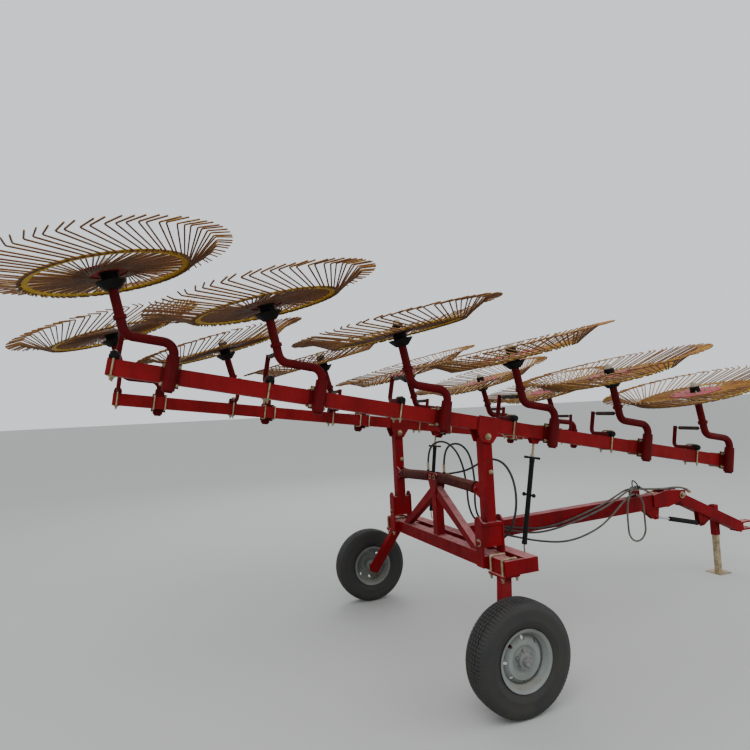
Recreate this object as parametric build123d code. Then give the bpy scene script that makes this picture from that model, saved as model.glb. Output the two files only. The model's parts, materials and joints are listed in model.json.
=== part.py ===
from build123d import *
import os
from math import cos, radians, sin, tan, atan2, degrees, hypot

# Carted V wheel rake, raised for transport. Millimetres.
# X runs forward, Y to the machine's left, Z up. The solids are drawn with X from the axle and are saved
# with X from the middle of the whole length, so the saved origin is on the ground under that middle.

ORIGIN_X = 462      # from the axle to the middle of the whole length
RUN_GAP = 0.06      # radial clearance of a pin in its hole
SEAT_GAP = 0.3      # gap between round pieces that are seated on each other
SIDES = (("R", -1), ("L", 1))

# Ground wheels
TRACK = 2470
TYRE_R = 350
TYRE_W = 180
BEAD_R = 176
RIM_WALL = 6
AXLE_R = 20
HUB_R = 48
HUB_L = 110
HAND_HOLES = 8

# Cart frame
BEAM = 100
FRAME_HALF = 974
FRAME_TOP = 852
REAR_BEAM_X = 164
FRONT_BEAM_X = 335
END_PLATE = 12
TIE_YS = (-640, -300, 300, 640)
LEG_Y = 890
LEG_W = 80
LEG_T = 60
CLAMP_PLATE = 14
UBOLT_R = 8
UBOLT_PITCH = 136

# Masts
MAST_X = 156
MAST_Y = 750
MAST_W = 80
HINGE_Z = 940
FOOT_REAR = 78
FOOT_FRONT = 238
FOOT_LOW = 910
FOOT_TOP = 1080
FOOT_LIP = 8
FOOT_LIP_H = 22
HINGE_PIN_R = 16
HINGE_PLATE = 12
HINGE_TOP = 1122
HINGE_PLATE_HALF = 45
SWING_Z = 1688
SWING_EYE_R = 34
SWING_EYE_L = 92
SWING_PIN_R = 16

# A-frame and lift cylinders
POST_W = 70
POST_TOP = 1260
BRACE_W = 60
BRACE_FOOT_Y = 590
BRACE_TOP_Z = 1235
TOP_PLATE = 12
CYL_PIN_Y = 35
CYL_PIN_Z = 1333
CYL_PIN_R = 12
LIFT_PIN_Y = 660
LIFT_PIN_Z = 1306
CYL_R = 43
CYL_START = 62
CYL_END = 575
GLAND_R = 47
GLAND_L = 10
CYL_ROD_R = 20
EYE_R = 28
BARREL_EYE_W = 52
ROD_EYE_W = 44
LUG_GAP = 52
LUG_PLATE = 12

PORT_AT = 102
PORT_H = 54
PORT_R = 12

# Booms, in a frame at the swing pin: x along the boom, z square to it
TILT = {"R": 10.7, "L": 7.5}
BOOM_YAW = 2.2
BOOM_W = 100
BOOM_H = 96
BOOM_RISE = 88
BOOM_REAR = -2528
BOOM_FRONT = 2442
SADDLE_L = 170
SADDLE_T = 12
SADDLE_DROP = 42
BOOM_CAP = 8

# Rake wheel units along the boom
UNIT_FIRST = -2178
UNIT_PITCH = 903
UNITS = 6
CLAMP_L = 112
CLAMP_H = 146
CLAMP_T = 12
SLEEVE_R = 38
SLEEVE_L = 184
CRANK_R = 28
CRANK_BEND = 70
CRANK_UP = 187
CRANK_BACK = 280
CRANK_TAIL = 12
COLLAR_R = 37
COLLAR_H = 22
LOUVRE = 22.5
AXIS_L = 352
HOUSING_R = 46
HOUSING_H = 84
FLARE_LOW_R = 42
FLARE_R = 82
FLARE_H = 42
FLARE_LIP = 8
SPINDLE_R = 15
SPINDLE_L = 30

# Spring arms
ARM_BACK = 317
ARM_R = 16
ARM_OUT = 44
ARM_IN = 180
ARM_UP = 180
BOOT_R = 24
BOOT_L = 34
SPRING_R = 16.5
SPRING_DROP = 16

# Rake wheel
RIM_IN = 406
RIM_OUT = 460
RIM_T = 5
TINES = 76
WIRE = 7
TINE_ROOT_R = 160
TINE_HOOK_R = 446
TINE_LEAD = -22
TINE_RUN = 290
TINE_SWEEP = -64
TINE_RISE = 77
TIP_L = 119
TIP_SWEEP = 17
TIP_RISE = 0
PLATE_R = 190
PLATE_T = 6
HUB_BASE_R = 56
HUB_CAP_R = 38
HUB_CAP_H = 48
GREASE_CAP_R = 25
GREASE_CAP_H = 33
HUB_GAP = 2

# Adjusting struts
STRUT_AT = 433
STRUT_ROD_R = 8
STRUT_ROD_L = 150
STRUT_TUBE_R = 18
STRUT_TUBE_L = 625
STRUT_CROSS = 269
STRUT_LUG = 40
HANDLE_R = 8
HANDLE_L = 110
KNOB_R = 15

# Tongue
KNEE_X = 2931
TONGUE_W = 100
TONGUE_H = 140
TONGUE_END = KNEE_X - 231
TONGUE_Z0 = 826
TONGUE_SLOPE = 1.2
KNEE_Z = 905
KNEE_PIN_R = 20
KNEE_PLATE = 14
KNEE_GAP = 2
FRONT_SLOPE = 24.4
FRONT_H = 108
FRONT_START = KNEE_X + 59
FRONT_END = KNEE_X + 869
FRONT_Z = 859
HITCH_X = KNEE_X + 1009
HITCH_Z = 478
HITCH_HOLE_R = 15.5
HITCH_GAP = 60
HITCH_PLATE = 16
HITCH_W = 90

# Knee cylinder
KNEE_A = (KNEE_X - 331, 715)
KNEE_B = (KNEE_X + 299, 575)
KNEE_CYL_R = 24
KNEE_ROD_R = 12
KNEE_EYE_R = 20
KNEE_EYE_W = 30
KNEE_LUG_GAP = 36
KNEE_LUG = 10
KNEE_CYL_PIN_R = 9
KNEE_CYL_START = 55
KNEE_CYL_END = 430

# Parking jack
JACK_X = KNEE_X + 629
JACK_OUT = 62
JACK_IN = 50
JACK_SLIDE = 0.5
JACK_LOW = 400
JACK_HIGH = 720
JACK_LEG_TOP = 690
FOOT_L = 170
FOOT_T = 10

# Hoses: routes by hand, with X as saved, bent at each point by a share of its shorter run
HOSE_R = 9
HOSE_SHARE = 0.45
FITTING_Z = 1345
HOSE_SADDLE_X = 2325
HOSE_SADDLE_Z = 1012
KNEE_BRIDGE_X = KNEE_X - 171
KNEE_BRIDGE_Z = 967
KNEE_BRIDGE_T = 12
HOSE_ROUTES = {
    "hose_lift_R": [(-306, -138, 1384), (-304, -138, 1492), (-257, -134, 1598), (-144, -121, 1610),
                    (-48, -107, 1535), (0, -92, 1400), (20, -78, 1230), (12, -66, 1070), (48, -62, 945),
                    (178, -62, 880), (398, -62, 830), (788, -66, 775), (1418, -62, 915), (1618, -58, 990),
                    (1768, -24, 1024), (1898, -2, 1015), (2098, -2, 994), (2298, 0, 977), (2428, 2, 978),
                    (2528, 6, 970), (2608, 9, 944), (2663, 11, 908)],
    "hose_lift_L": [(-306, 138, 1384), (-304, 138, 1505), (-257, 128, 1605), (-157, 96, 1622),
                    (-77, 48, 1543), (-40, 4, 1410), (-37, -38, 1240), (-57, -76, 1075), (-22, -102, 955),
                    (98, -104, 890), (298, -98, 830), (688, -92, 740), (1338, -84, 865), (1608, -84, 968),
                    (1768, -58, 1024), (1898, -26, 1015), (2098, -26, 994), (2298, -26, 977),
                    (2418, -27, 979), (2508, -30, 972), (2578, -33, 950), (2628, -36, 915)],
    "hose_cross": [(-230, 0, 1345), (-122, -6, 1348), (-60, -100, 1375), (-70, -250, 1425),
                   (-102, -420, 1480), (-122, -590, 1505), (-127, -730, 1480), (-117, -805, 1390),
                   (-110, -830, 1265), (-112, -815, 1130), (-120, -755, 1005), (-126, -660, 915),
                   (-122, -520, 868), (-102, -350, 863), (-32, -215, 863), (98, -150, 850),
                   (298, -134, 790), (598, -130, 700), (938, -128, 645), (1288, -122, 715),
                   (1498, -112, 830), (1648, -100, 932), (1765, -94, 989), (1841, -97, 972),
                   (1890, -102, 911), (1892, -106, 800), (1892, -109, 700), (1890, -112, 612),
                   (1823, -116, 545), (1727, -121, 545), (1660, -126, 612), (1654, -128, 710),
                   (1654, -128, 810), (1668, -125, 910), (1724, -110, 1003), (1813, -83, 1058),
                   (1908, -62, 1042), (1998, -48, 985), (2098, -40, 957)],
}


def box(x0, x1, y0, y1, z0, z1):
    middle = ((x0 + x1) / 2, (y0 + y1) / 2, (z0 + z1) / 2)
    return Pos(*middle) * Box(abs(x1 - x0), abs(y1 - y0), abs(z1 - z0))


def rod(start, end, radius):
    line = Vector(*end) - Vector(*start)
    plane = Plane(origin=start, z_dir=line)
    return plane * Cylinder(radius, line.length, align=(Align.CENTER, Align.CENTER, Align.MIN))


def pipe(points, radius, bend):
    path = FilletPolyline(*points, radius=bend)
    return sweep(Plane(origin=path @ 0, z_dir=path % 0) * Circle(radius), path=path)


def side_plate(points, y0, y1):
    """A plate square to Y from an outline in X and Z."""
    face = make_face(Polyline(*[(x, y0, z) for x, z in points], close=True))
    return extrude(face, amount=y1 - y0, dir=(0, 1, 0))


def cross_plate(points, x0, x1):
    """A plate square to X from an outline in Y and Z."""
    face = make_face(Polyline(*[(x0, y, z) for y, z in points], close=True))
    return extrude(face, amount=x1 - x0, dir=(1, 0, 0))


def boom_plane(name, side):
    tilt, yaw = radians(TILT[name]), radians(BOOM_YAW)
    along = Vector(cos(yaw) * cos(tilt), side * sin(yaw) * cos(tilt), -sin(tilt))
    across = Vector(-side * sin(yaw), cos(yaw), 0)
    return Plane(origin=(MAST_X, side * MAST_Y, SWING_Z), x_dir=along, z_dir=along.cross(across))


def on_boom(shape, name, side):
    """Shapes are drawn for the right boom, where outboard is -Y."""
    if side > 0:
        shape = mirror(shape, about=Plane.XZ)
    return boom_plane(name, side).location * shape


def unit_starts():
    return [UNIT_FIRST + UNIT_PITCH * i for i in range(UNITS)]


UNIT_OUT = BOOM_W / 2 + CLAMP_T + SLEEVE_R - 6
ELBOW = (-CRANK_BACK, -UNIT_OUT, BOOM_RISE + CRANK_UP)
AXIS_DIR = (-sin(radians(LOUVRE)), 0, cos(radians(LOUVRE)))


def along_axis(distance):
    """A point on the rake wheel's axis, from the crank's elbow, for a unit at x = 0."""
    return tuple(e + distance * a for e, a in zip(ELBOW, AXIS_DIR))


def wheel_plane(start):
    centre = along_axis(AXIS_L)
    return Plane(origin=(centre[0] + start, centre[1], centre[2]), x_dir=(AXIS_DIR[2], 0, -AXIS_DIR[0]),
                 z_dir=AXIS_DIR)


UBOLT_OUT = BEAM / 2 + UBOLT_R + SEAT_GAP


# Ground running gear
def tyre():
    half = TYRE_W / 2
    with BuildSketch(Plane.XY) as profile:
        with BuildLine():
            Polyline((BEAD_R, -half * 0.78), (BEAD_R, half * 0.78), (BEAD_R + 20, half * 0.86))
            ThreePointArc((BEAD_R + 20, half * 0.86), (TYRE_R * 0.76, half), (TYRE_R - 26, half * 0.9))
            ThreePointArc((TYRE_R - 26, half * 0.9), (TYRE_R - 8, half * 0.82), (TYRE_R - 4, half * 0.7))
            ThreePointArc((TYRE_R - 4, half * 0.7), (TYRE_R, 0), (TYRE_R - 4, -half * 0.7))
            ThreePointArc((TYRE_R - 4, -half * 0.7), (TYRE_R - 8, -half * 0.82), (TYRE_R - 26, -half * 0.9))
            ThreePointArc((TYRE_R - 26, -half * 0.9), (TYRE_R * 0.76, -half), (BEAD_R + 20, -half * 0.86))
            Line((BEAD_R + 20, -half * 0.86), (BEAD_R, -half * 0.78))
        make_face()
    return revolve(profile.sketch, axis=Axis.Y)


def rim():
    """Drawn for the right wheel: the dish and hub face outboard, -Y."""
    half = TYRE_W / 2
    edge = BEAD_R - SEAT_GAP
    flange = edge + 14
    lip = half * 0.78 + SEAT_GAP
    band = [(edge, -lip), (flange, -lip - 8), (flange, -lip - 14), (edge - RIM_WALL, -lip - 4),
            (edge - 26, -half * 0.45), (edge - 26, half * 0.45), (edge - RIM_WALL, lip + 4),
            (flange, lip + 14), (flange, lip + 8), (edge, lip), (edge - 20, half * 0.45), (edge - 20, -half * 0.45)]
    ring = revolve(make_face(Polyline(*[(r, y, 0) for r, y in band], close=True)), axis=Axis.Y)
    disc = [(AXLE_R + RUN_GAP, -half * 0.5), (70, -half * 0.5), (90, -half * 0.62), (118, -half * 0.62),
            (edge - 22, -half * 0.2), (edge - 22, -half * 0.2 + 8), (116, -half * 0.62 + 8),
            (92, -half * 0.62 + 8), (72, -half * 0.5 + 8), (AXLE_R + RUN_GAP, -half * 0.5 + 8)]
    dish = revolve(make_face(Polyline(*[(r, y, 0) for r, y in disc], close=True)), axis=Axis.Y)
    for i in range(HAND_HOLES):
        hole = Pos(0, 0, 130) * Rot(90, 0, 0) * Cylinder(11, TYRE_W)
        dish -= Rot(0, 360 / HAND_HOLES * i, 0) * hole
    bore = Rot(90, 0, 0) * Cylinder(AXLE_R + RUN_GAP, TYRE_W * 2)
    hub = Pos(0, -half * 0.5 + HUB_L / 2 - 30, 0) * Rot(90, 0, 0) * Cylinder(HUB_R, HUB_L)
    return ring + dish + (hub - bore)


def wheel_leg():
    """Drawn for the right side: clamp plate, leaning leg and stub axle."""
    top = FRAME_TOP - BEAM
    plate = box(REAR_BEAM_X - BEAM / 2 - 20, REAR_BEAM_X + BEAM / 2 + 20, -LEG_Y - UBOLT_PITCH / 2 - 20,
                -LEG_Y + UBOLT_PITCH / 2 + 20, top - CLAMP_PLATE, top)
    inner_y = -TRACK / 2 + TYRE_W / 2 - 2
    foot = (0, inner_y + LEG_T / 2 + 24, TYRE_R)
    head = (REAR_BEAM_X, -LEG_Y, top - CLAMP_PLATE / 2)
    line = Vector(*foot) - Vector(*head)
    plane = Plane(origin=head, x_dir=(line.Z, 0, -line.X), z_dir=line)
    leg = plane * Box(LEG_W, LEG_T, line.length + LEG_W / 2, align=(Align.CENTER, Align.CENTER, Align.MIN))
    leg -= box(-500, 500, -2000, 0, top - CLAMP_PLATE / 2, top + 200)
    axle = rod((0, foot[1] + LEG_T / 2, TYRE_R), (0, -TRACK / 2 - 72, TYRE_R), AXLE_R)
    shoulder = rod((0, foot[1], TYRE_R), (0, foot[1] - LEG_T / 2 - 12, TYRE_R), AXLE_R + 12)
    for x in (-1, 1):
        for y in (-1, 1):
            at = (REAR_BEAM_X + x * UBOLT_OUT, -LEG_Y + y * UBOLT_PITCH / 2)
            plate -= rod((*at, top - 60), (*at, top + 20), UBOLT_R + SEAT_GAP)
    return plate + leg + axle + shoulder


def leg_ubolts():
    """Two U-bolts that hold the right leg's clamp plate under the rear beam."""
    half = UBOLT_OUT
    low = FRAME_TOP - BEAM - CLAMP_PLATE - 26
    high = FRAME_TOP + UBOLT_R + SEAT_GAP
    bolts = []
    for step in (-1, 1):
        y = -LEG_Y + step * UBOLT_PITCH / 2
        points = [(REAR_BEAM_X - half, y, low), (REAR_BEAM_X - half, y, high),
                  (REAR_BEAM_X + half, y, high), (REAR_BEAM_X + half, y, low)]
        bolts.append(pipe(points, UBOLT_R, UBOLT_R + 1))
    return bolts


# Cart frame
def cart_frame():
    low = FRAME_TOP - BEAM
    body = None
    for x in (REAR_BEAM_X, FRONT_BEAM_X):
        beam = box(x - BEAM / 2, x + BEAM / 2, -FRAME_HALF, FRAME_HALF, low, FRAME_TOP)
        body = beam if body is None else body + beam
    for side in (-1, 1):
        body += box(REAR_BEAM_X - BEAM / 2, FRONT_BEAM_X + BEAM / 2, side * FRAME_HALF,
                    side * (FRAME_HALF + END_PLATE), low, FRAME_TOP)
    for y in TIE_YS:
        body += box(REAR_BEAM_X, FRONT_BEAM_X, y - 30, y + 30, low + 12, FRAME_TOP - 12)
    for side in (-1, 1):
        body += hinge_plates(side)
    return body


def hinge_plates(side):
    """Two plates that hold the mast's foot between them, on packing blocks on the rear beam's faces."""
    rear = FOOT_REAR - 2
    front = FOOT_FRONT + 2
    y = side * MAST_Y
    half, shoulder = HINGE_PLATE_HALF, HINGE_TOP - 30
    low = FRAME_TOP - 82
    outline = [(y - half, low), (y + half, low), (y + half, shoulder), (y + half * 0.4, HINGE_TOP),
               (y - half * 0.4, HINGE_TOP), (y - half, shoulder)]
    plates = cross_plate(outline, rear - HINGE_PLATE, rear)
    plates += cross_plate(outline, front, front + HINGE_PLATE)
    plates += box(rear, REAR_BEAM_X - BEAM / 2, y - half, y + half, low, FRAME_TOP)
    plates += box(REAR_BEAM_X + BEAM / 2, front, y - half, y + half, low, FRAME_TOP)
    hole = rod((rear - 50, y, HINGE_Z), (front + 50, y, HINGE_Z), HINGE_PIN_R + RUN_GAP)
    return plates - hole


def a_frame():
    body = box(MAST_X - POST_W / 2, MAST_X + POST_W / 2, -POST_W / 2, POST_W / 2, FRAME_TOP, POST_TOP)
    for side in (-1, 1):
        brace = [(0, BRACE_TOP_Z + 35), (side * 30, BRACE_TOP_Z + 25),
                 (side * (BRACE_FOOT_Y + 45), FRAME_TOP), (side * (BRACE_FOOT_Y - 45), FRAME_TOP),
                 (0, BRACE_TOP_Z - 50)]
        body += cross_plate(brace, MAST_X - BRACE_W / 2, MAST_X + BRACE_W / 2)
    half = CYL_PIN_Y + 42
    low, top = POST_TOP - 70, CYL_PIN_Z + 34
    for front in (-1, 1):
        inner = MAST_X + front * LUG_GAP / 2 + front * 2
        outline = [(-POST_W / 2, low), (POST_W / 2, low), (half, CYL_PIN_Z - 30), (half, top - 14),
                   (half - 16, top), (16 - half, top), (-half, top - 14), (-half, CYL_PIN_Z - 30)]
        x0, x1 = sorted((inner, inner + front * TOP_PLATE))
        body += cross_plate(outline, x0, x1)
    for side in (-1, 1):
        y = side * CYL_PIN_Y
        body -= rod((MAST_X - 90, y, CYL_PIN_Z), (MAST_X + 90, y, CYL_PIN_Z), CYL_PIN_R + RUN_GAP)
    face = MAST_X + LUG_GAP / 2 + 2 + TOP_PLATE
    body += rod((face - 2, 0, FITTING_Z), (232 - SEAT_GAP, 0, FITTING_Z), PORT_R)
    slot = box(MAST_X - LUG_GAP / 2 - 2, MAST_X + LUG_GAP / 2 + 2, -half, half, POST_TOP, top + 10)
    return body - slot


# Masts and lift cylinders
def mast(name, side):
    y = side * MAST_Y
    half = MAST_W / 2
    body = box(MAST_X - half, MAST_X + half, y - half, y + half, HINGE_Z, SWING_Z - 10)
    body += box(FOOT_REAR, FOOT_FRONT, y - half, y + half, FOOT_LOW, FOOT_TOP)
    near, far = sorted((side * (MAST_Y + half), side * (MAST_Y + half + FOOT_LIP)))
    body += box(FOOT_REAR, FOOT_FRONT, near, far, FOOT_TOP - FOOT_LIP_H, FOOT_TOP)
    reach = HINGE_PLATE + 16
    body += rod((FOOT_REAR - reach, y, HINGE_Z), (FOOT_FRONT + reach, y, HINGE_Z), HINGE_PIN_R)
    eye = Rot(90, 0, 0) * Cylinder(SWING_EYE_R, SWING_EYE_L)
    bore = Rot(90, 0, 0) * Cylinder(SWING_PIN_R + RUN_GAP, SWING_EYE_L * 2)
    body += boom_plane(name, side).location * eye
    body -= boom_plane(name, side).location * bore
    inner = side * (MAST_Y - half)
    tip = side * (LIFT_PIN_Y - EYE_R)
    for front in (-1, 1):
        x0, x1 = sorted((MAST_X + front * LUG_GAP / 2, MAST_X + front * (LUG_GAP / 2 + LUG_PLATE)))
        outline = [(inner, LIFT_PIN_Z - 62), (inner, LIFT_PIN_Z + 62), (tip, LIFT_PIN_Z + 24),
                   (tip, LIFT_PIN_Z - 24)]
        body += cross_plate(outline, x0, x1)
        head = MAST_X + front * (LUG_GAP / 2 + LUG_PLATE)
        body += rod((head, side * LIFT_PIN_Y, LIFT_PIN_Z), (head + front * 12, side * LIFT_PIN_Y, LIFT_PIN_Z),
                    CYL_PIN_R + 4)
    return body


def on_lift(shape, side):
    """Seats a right lift cylinder's piece: z along the cylinder, y up, from the barrel's pin."""
    run = Vector(0, CYL_PIN_Y - LIFT_PIN_Y, LIFT_PIN_Z - CYL_PIN_Z)
    plane = Plane(origin=(MAST_X, -CYL_PIN_Y, CYL_PIN_Z), x_dir=(1, 0, 0), z_dir=run)
    placed = plane.location * shape
    return placed if side < 0 else mirror(placed, about=Plane.XZ)


LIFT_L = hypot(LIFT_PIN_Y - CYL_PIN_Y, LIFT_PIN_Z - CYL_PIN_Z)


def stack(radius, low, high):
    return Pos(0, 0, (low + high) / 2) * Cylinder(radius, high - low)


def lift_barrel():
    body = Rot(0, 90, 0) * Cylinder(EYE_R, BARREL_EYE_W)
    body += stack(CYL_ROD_R + 4, 0, CYL_START + 10)
    body += stack(CYL_R, CYL_START, CYL_END)
    body += stack(GLAND_R, CYL_END - 34, CYL_END + GLAND_L)
    body += Pos(0, PORT_H / 2, PORT_AT) * Rot(90, 0, 0) * Cylinder(PORT_R, PORT_H)
    body -= stack(CYL_ROD_R + 0.5, CYL_START + 14, CYL_END + 40)
    pin = Rot(0, 90, 0) * Cylinder(CYL_PIN_R, LUG_GAP + 2 * TOP_PLATE + 20)
    return body + pin


def lift_rod():
    body = stack(CYL_ROD_R, CYL_START + 20, LIFT_L)
    return body + Pos(0, 0, LIFT_L) * Rot(0, 90, 0) * Cylinder(EYE_R, ROD_EYE_W)


# Booms and what each one carries, drawn for the right boom at the swing pin
def boom():
    low, high = BOOM_RISE - BOOM_H / 2, BOOM_RISE + BOOM_H / 2
    body = box(BOOM_REAR, BOOM_FRONT, -BOOM_W / 2, BOOM_W / 2, low, high)
    for side in (-1, 1):
        inner = side * BOOM_W / 2
        outline = [(-SADDLE_L / 2, high + 8), (SADDLE_L / 2, high + 8), (SADDLE_L / 2, low - 10),
                   (45, -SADDLE_DROP), (-45, -SADDLE_DROP), (-SADDLE_L / 2, low - 10)]
        y0, y1 = sorted((inner, inner + side * SADDLE_T))
        body += side_plate(outline, y0, y1)
    body += Rot(90, 0, 0) * Cylinder(SWING_PIN_R, BOOM_W + 2 * SADDLE_T + 30)
    lug = side_plate([(STRUT_AT - 45, low), (STRUT_AT + 45, low), (STRUT_AT + 20, low - STRUT_LUG),
                      (STRUT_AT - 20, low - STRUT_LUG)], -25, 25)
    slot = box(STRUT_AT - 60, STRUT_AT + 60, -14, 14, low - STRUT_LUG - 5, low)
    return body + (lug - slot)


def unit_clamp(start):
    outer = -BOOM_W / 2
    plate = box(start - CLAMP_L / 2, start + CLAMP_L / 2, outer - CLAMP_T, outer,
                BOOM_RISE - CLAMP_H / 2, BOOM_RISE + CLAMP_H / 2)
    sleeve = Pos(start, -UNIT_OUT, BOOM_RISE) * Cylinder(SLEEVE_R, SLEEVE_L)
    bore = Pos(start, -UNIT_OUT, BOOM_RISE) * Cylinder(CRANK_R + SEAT_GAP, SLEEVE_L * 2)
    return plate + sleeve - bore


def crank(start):
    low = BOOM_RISE - SLEEVE_L / 2 - CRANK_TAIL
    housing_low = AXIS_L - HUB_GAP - HOUSING_H
    points = [(0, -UNIT_OUT, low), (0, -UNIT_OUT, ELBOW[2]), ELBOW, along_axis(housing_low)]
    tube = pipe(points, CRANK_R, CRANK_BEND)
    seat = BOOM_RISE + SLEEVE_L / 2
    tube += Pos(0, -UNIT_OUT, seat + COLLAR_H / 2) * Cylinder(COLLAR_R, COLLAR_H)
    tube += rod(along_axis(96), along_axis(96 + COLLAR_H), COLLAR_R)
    return Pos(start, 0, 0) * tube


def hub_housing(start):
    low = AXIS_L - HUB_GAP - HOUSING_H
    profile = [(0, 0), (FLARE_LOW_R, 0), (FLARE_R, FLARE_H), (FLARE_R, FLARE_H + FLARE_LIP),
               (HOUSING_R, FLARE_H + FLARE_LIP), (HOUSING_R, HOUSING_H), (0, HOUSING_H)]
    outline = make_face(Polyline(*[(r, 0, z) for r, z in profile], close=True))
    body = Plane(origin=along_axis(low), z_dir=AXIS_DIR).location * revolve(outline, axis=Axis.Z)
    body += rod(along_axis(low + HOUSING_H - 1), along_axis(AXIS_L + SPINDLE_L), SPINDLE_R)
    return Pos(start, 0, 0) * body


def spring_arm(start):
    seat = BOOM_RISE + BOOM_H / 2 + ARM_R + SEAT_GAP + 10
    points = [(-ARM_BACK, -ARM_OUT, seat), (-ARM_BACK, ARM_IN, seat), (-ARM_BACK, ARM_IN, seat + ARM_UP)]
    arm = pipe(points, ARM_R, ARM_R * 2.5)
    top = BOOM_RISE + BOOM_H / 2
    arm += box(-ARM_BACK - 30, -ARM_BACK + 30, -ARM_OUT + 2, 30, top, seat)
    return Pos(start, 0, 0) * arm


def spring(start):
    seat = BOOM_RISE + BOOM_H / 2 + ARM_R + SEAT_GAP + 10 + ARM_UP - SPRING_DROP
    inner = ARM_IN - ARM_R - SEAT_GAP
    reach = (seat - ELBOW[2]) / AXIS_DIR[2]
    outer = along_axis(reach)
    body = rod((-ARM_BACK, inner, seat), (outer[0], outer[1] + CRANK_R + SEAT_GAP + 3, seat), SPRING_R)
    return Pos(start, 0, 0) * body


def strut():
    top = BOOM_RISE - BOOM_H / 2 - SEAT_GAP
    joint = top - STRUT_ROD_L
    foot = joint - STRUT_TUBE_L
    body = rod((STRUT_AT, 0, joint), (STRUT_AT, 0, top), STRUT_ROD_R)
    body += rod((STRUT_AT, 0, foot), (STRUT_AT, 0, joint), STRUT_TUBE_R)
    body += rod((STRUT_AT - HANDLE_L / 2, 0, joint + 6), (STRUT_AT + HANDLE_L / 2, 0, joint + 6), HANDLE_R)
    cross = joint - STRUT_CROSS
    body += rod((STRUT_AT, -60, cross), (STRUT_AT, 60, cross), HANDLE_R)
    for y in (-60, 60):
        body += Pos(STRUT_AT, y, cross) * Sphere(KNOB_R)
    return body


# Rake wheel in its own frame: z is the axis, tines rise to +z
def tine():
    """One wire from under the plate over the rim to the tip, mitred at its bends."""
    level = RIM_T + WIRE / 2 - 0.4
    lead = radians(TINE_LEAD)
    root = (TINE_ROOT_R * cos(lead), TINE_ROOT_R * sin(lead), level)
    hook = (TINE_HOOK_R, 0, level)
    sweep_out, sweep_tip = radians(TINE_SWEEP), radians(TIP_SWEEP)
    elbow = (hook[0] + TINE_RUN * cos(sweep_out), TINE_RUN * sin(sweep_out), level + TINE_RISE)
    tip = (elbow[0] + TIP_L * cos(sweep_tip), elbow[1] + TIP_L * sin(sweep_tip), elbow[2] + TIP_RISE)
    path = Polyline(root, hook, elbow, tip)
    start = Plane(origin=root, x_dir=(0, 0, 1), z_dir=path % 0)
    return sweep(start * Rectangle(WIRE, WIRE), path=path, transition=Transition.RIGHT)


def rake_ring():
    ring = Cylinder(RIM_OUT, RIM_T) - Cylinder(RIM_IN, RIM_T * 2)
    ring = Pos(0, 0, RIM_T / 2) * ring
    one = tine()
    wires = [Rot(0, 0, 360 / TINES * i) * one for i in range(TINES)]
    return ring.fuse(*wires)


def wheel_hub():
    plate_low = RIM_T + WIRE - 0.4 + SEAT_GAP
    plate = stack(PLATE_R, plate_low, plate_low + PLATE_T)
    body = plate + stack(HUB_BASE_R, 0, plate_low) + stack(HUB_CAP_R + 5, 0, plate_low + PLATE_T + 5)
    body += stack(HUB_CAP_R, plate_low, plate_low + PLATE_T + HUB_CAP_H)
    body += stack(GREASE_CAP_R, plate_low, plate_low + PLATE_T + HUB_CAP_H + GREASE_CAP_H)
    return body - stack(SPINDLE_R + RUN_GAP, -10, SPINDLE_L + 2)


# Tongue
def tongue_rear():
    start = FRONT_BEAM_X + BEAM / 2
    rise = (TONGUE_END - start) * tan(radians(TONGUE_SLOPE))
    low, high = TONGUE_Z0 - TONGUE_H / 2, TONGUE_Z0 + TONGUE_H / 2
    half = TONGUE_W / 2
    body = side_plate([(start, low), (TONGUE_END, low + rise), (TONGUE_END, high + rise), (start, high)],
                      -half, half)
    for side in (-1, 1):
        y0, y1 = sorted((side * (half + KNEE_GAP), side * (half + KNEE_GAP + KNEE_PLATE)))
        outline = [(TONGUE_END - 160, low + rise + 20), (TONGUE_END - 160, high + rise - 6),
                   (TONGUE_END + 20, high + rise + 26), (KNEE_X + 50, KNEE_Z + 45), (KNEE_X + 50, KNEE_Z - 40),
                   (TONGUE_END + 30, low + rise)]
        body += side_plate(outline, y0, y1)
        y0, y1 = sorted((side * (half - 1), side * (half + KNEE_GAP + 1)))
        body += side_plate([(TONGUE_END - 150, low + rise + 26), (TONGUE_END - 150, high + rise - 14),
                            (TONGUE_END, high + rise - 6), (TONGUE_END, low + rise + 20)], y0, y1)
        gusset = cross_gusset(side, start, half)
        body += gusset
    body -= rod((KNEE_X, -200, KNEE_Z), (KNEE_X, 200, KNEE_Z), KNEE_PIN_R + RUN_GAP)
    saddle_top = HOSE_SADDLE_Z - HOSE_R - SEAT_GAP
    body += box(HOSE_SADDLE_X - 30, HOSE_SADDLE_X + 30, -44, 14, high, saddle_top)
    inner = half + KNEE_GAP + 1
    body += box(KNEE_BRIDGE_X - 22, KNEE_BRIDGE_X + 22, -inner, inner, KNEE_BRIDGE_Z - KNEE_BRIDGE_T, KNEE_BRIDGE_Z)
    return [body] + [knee_lug(side, start, low) for side in (-1, 1)]


def knee_lug(side, start, low):
    """One of the two plates under the tongue that hold the knee cylinder's rod."""
    ax, az = KNEE_A
    slope = tan(radians(TONGUE_SLOPE))
    top = [(x, low + (x - start) * slope - SEAT_GAP) for x in (ax - 170, ax + 45)]
    y0, y1 = sorted((side * KNEE_LUG_GAP / 2, side * (KNEE_LUG_GAP / 2 + KNEE_LUG)))
    lug = side_plate(top + [(ax + 26, az - 24), (ax - 24, az - 24)], y0, y1)
    y0, y1 = sorted((side * (KNEE_LUG_GAP / 2 + KNEE_LUG), side * (KNEE_LUG_GAP / 2 + KNEE_LUG + 8)))
    return lug + rod((ax, y0, az), (ax, y1, az), KNEE_CYL_PIN_R + 4)


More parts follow.
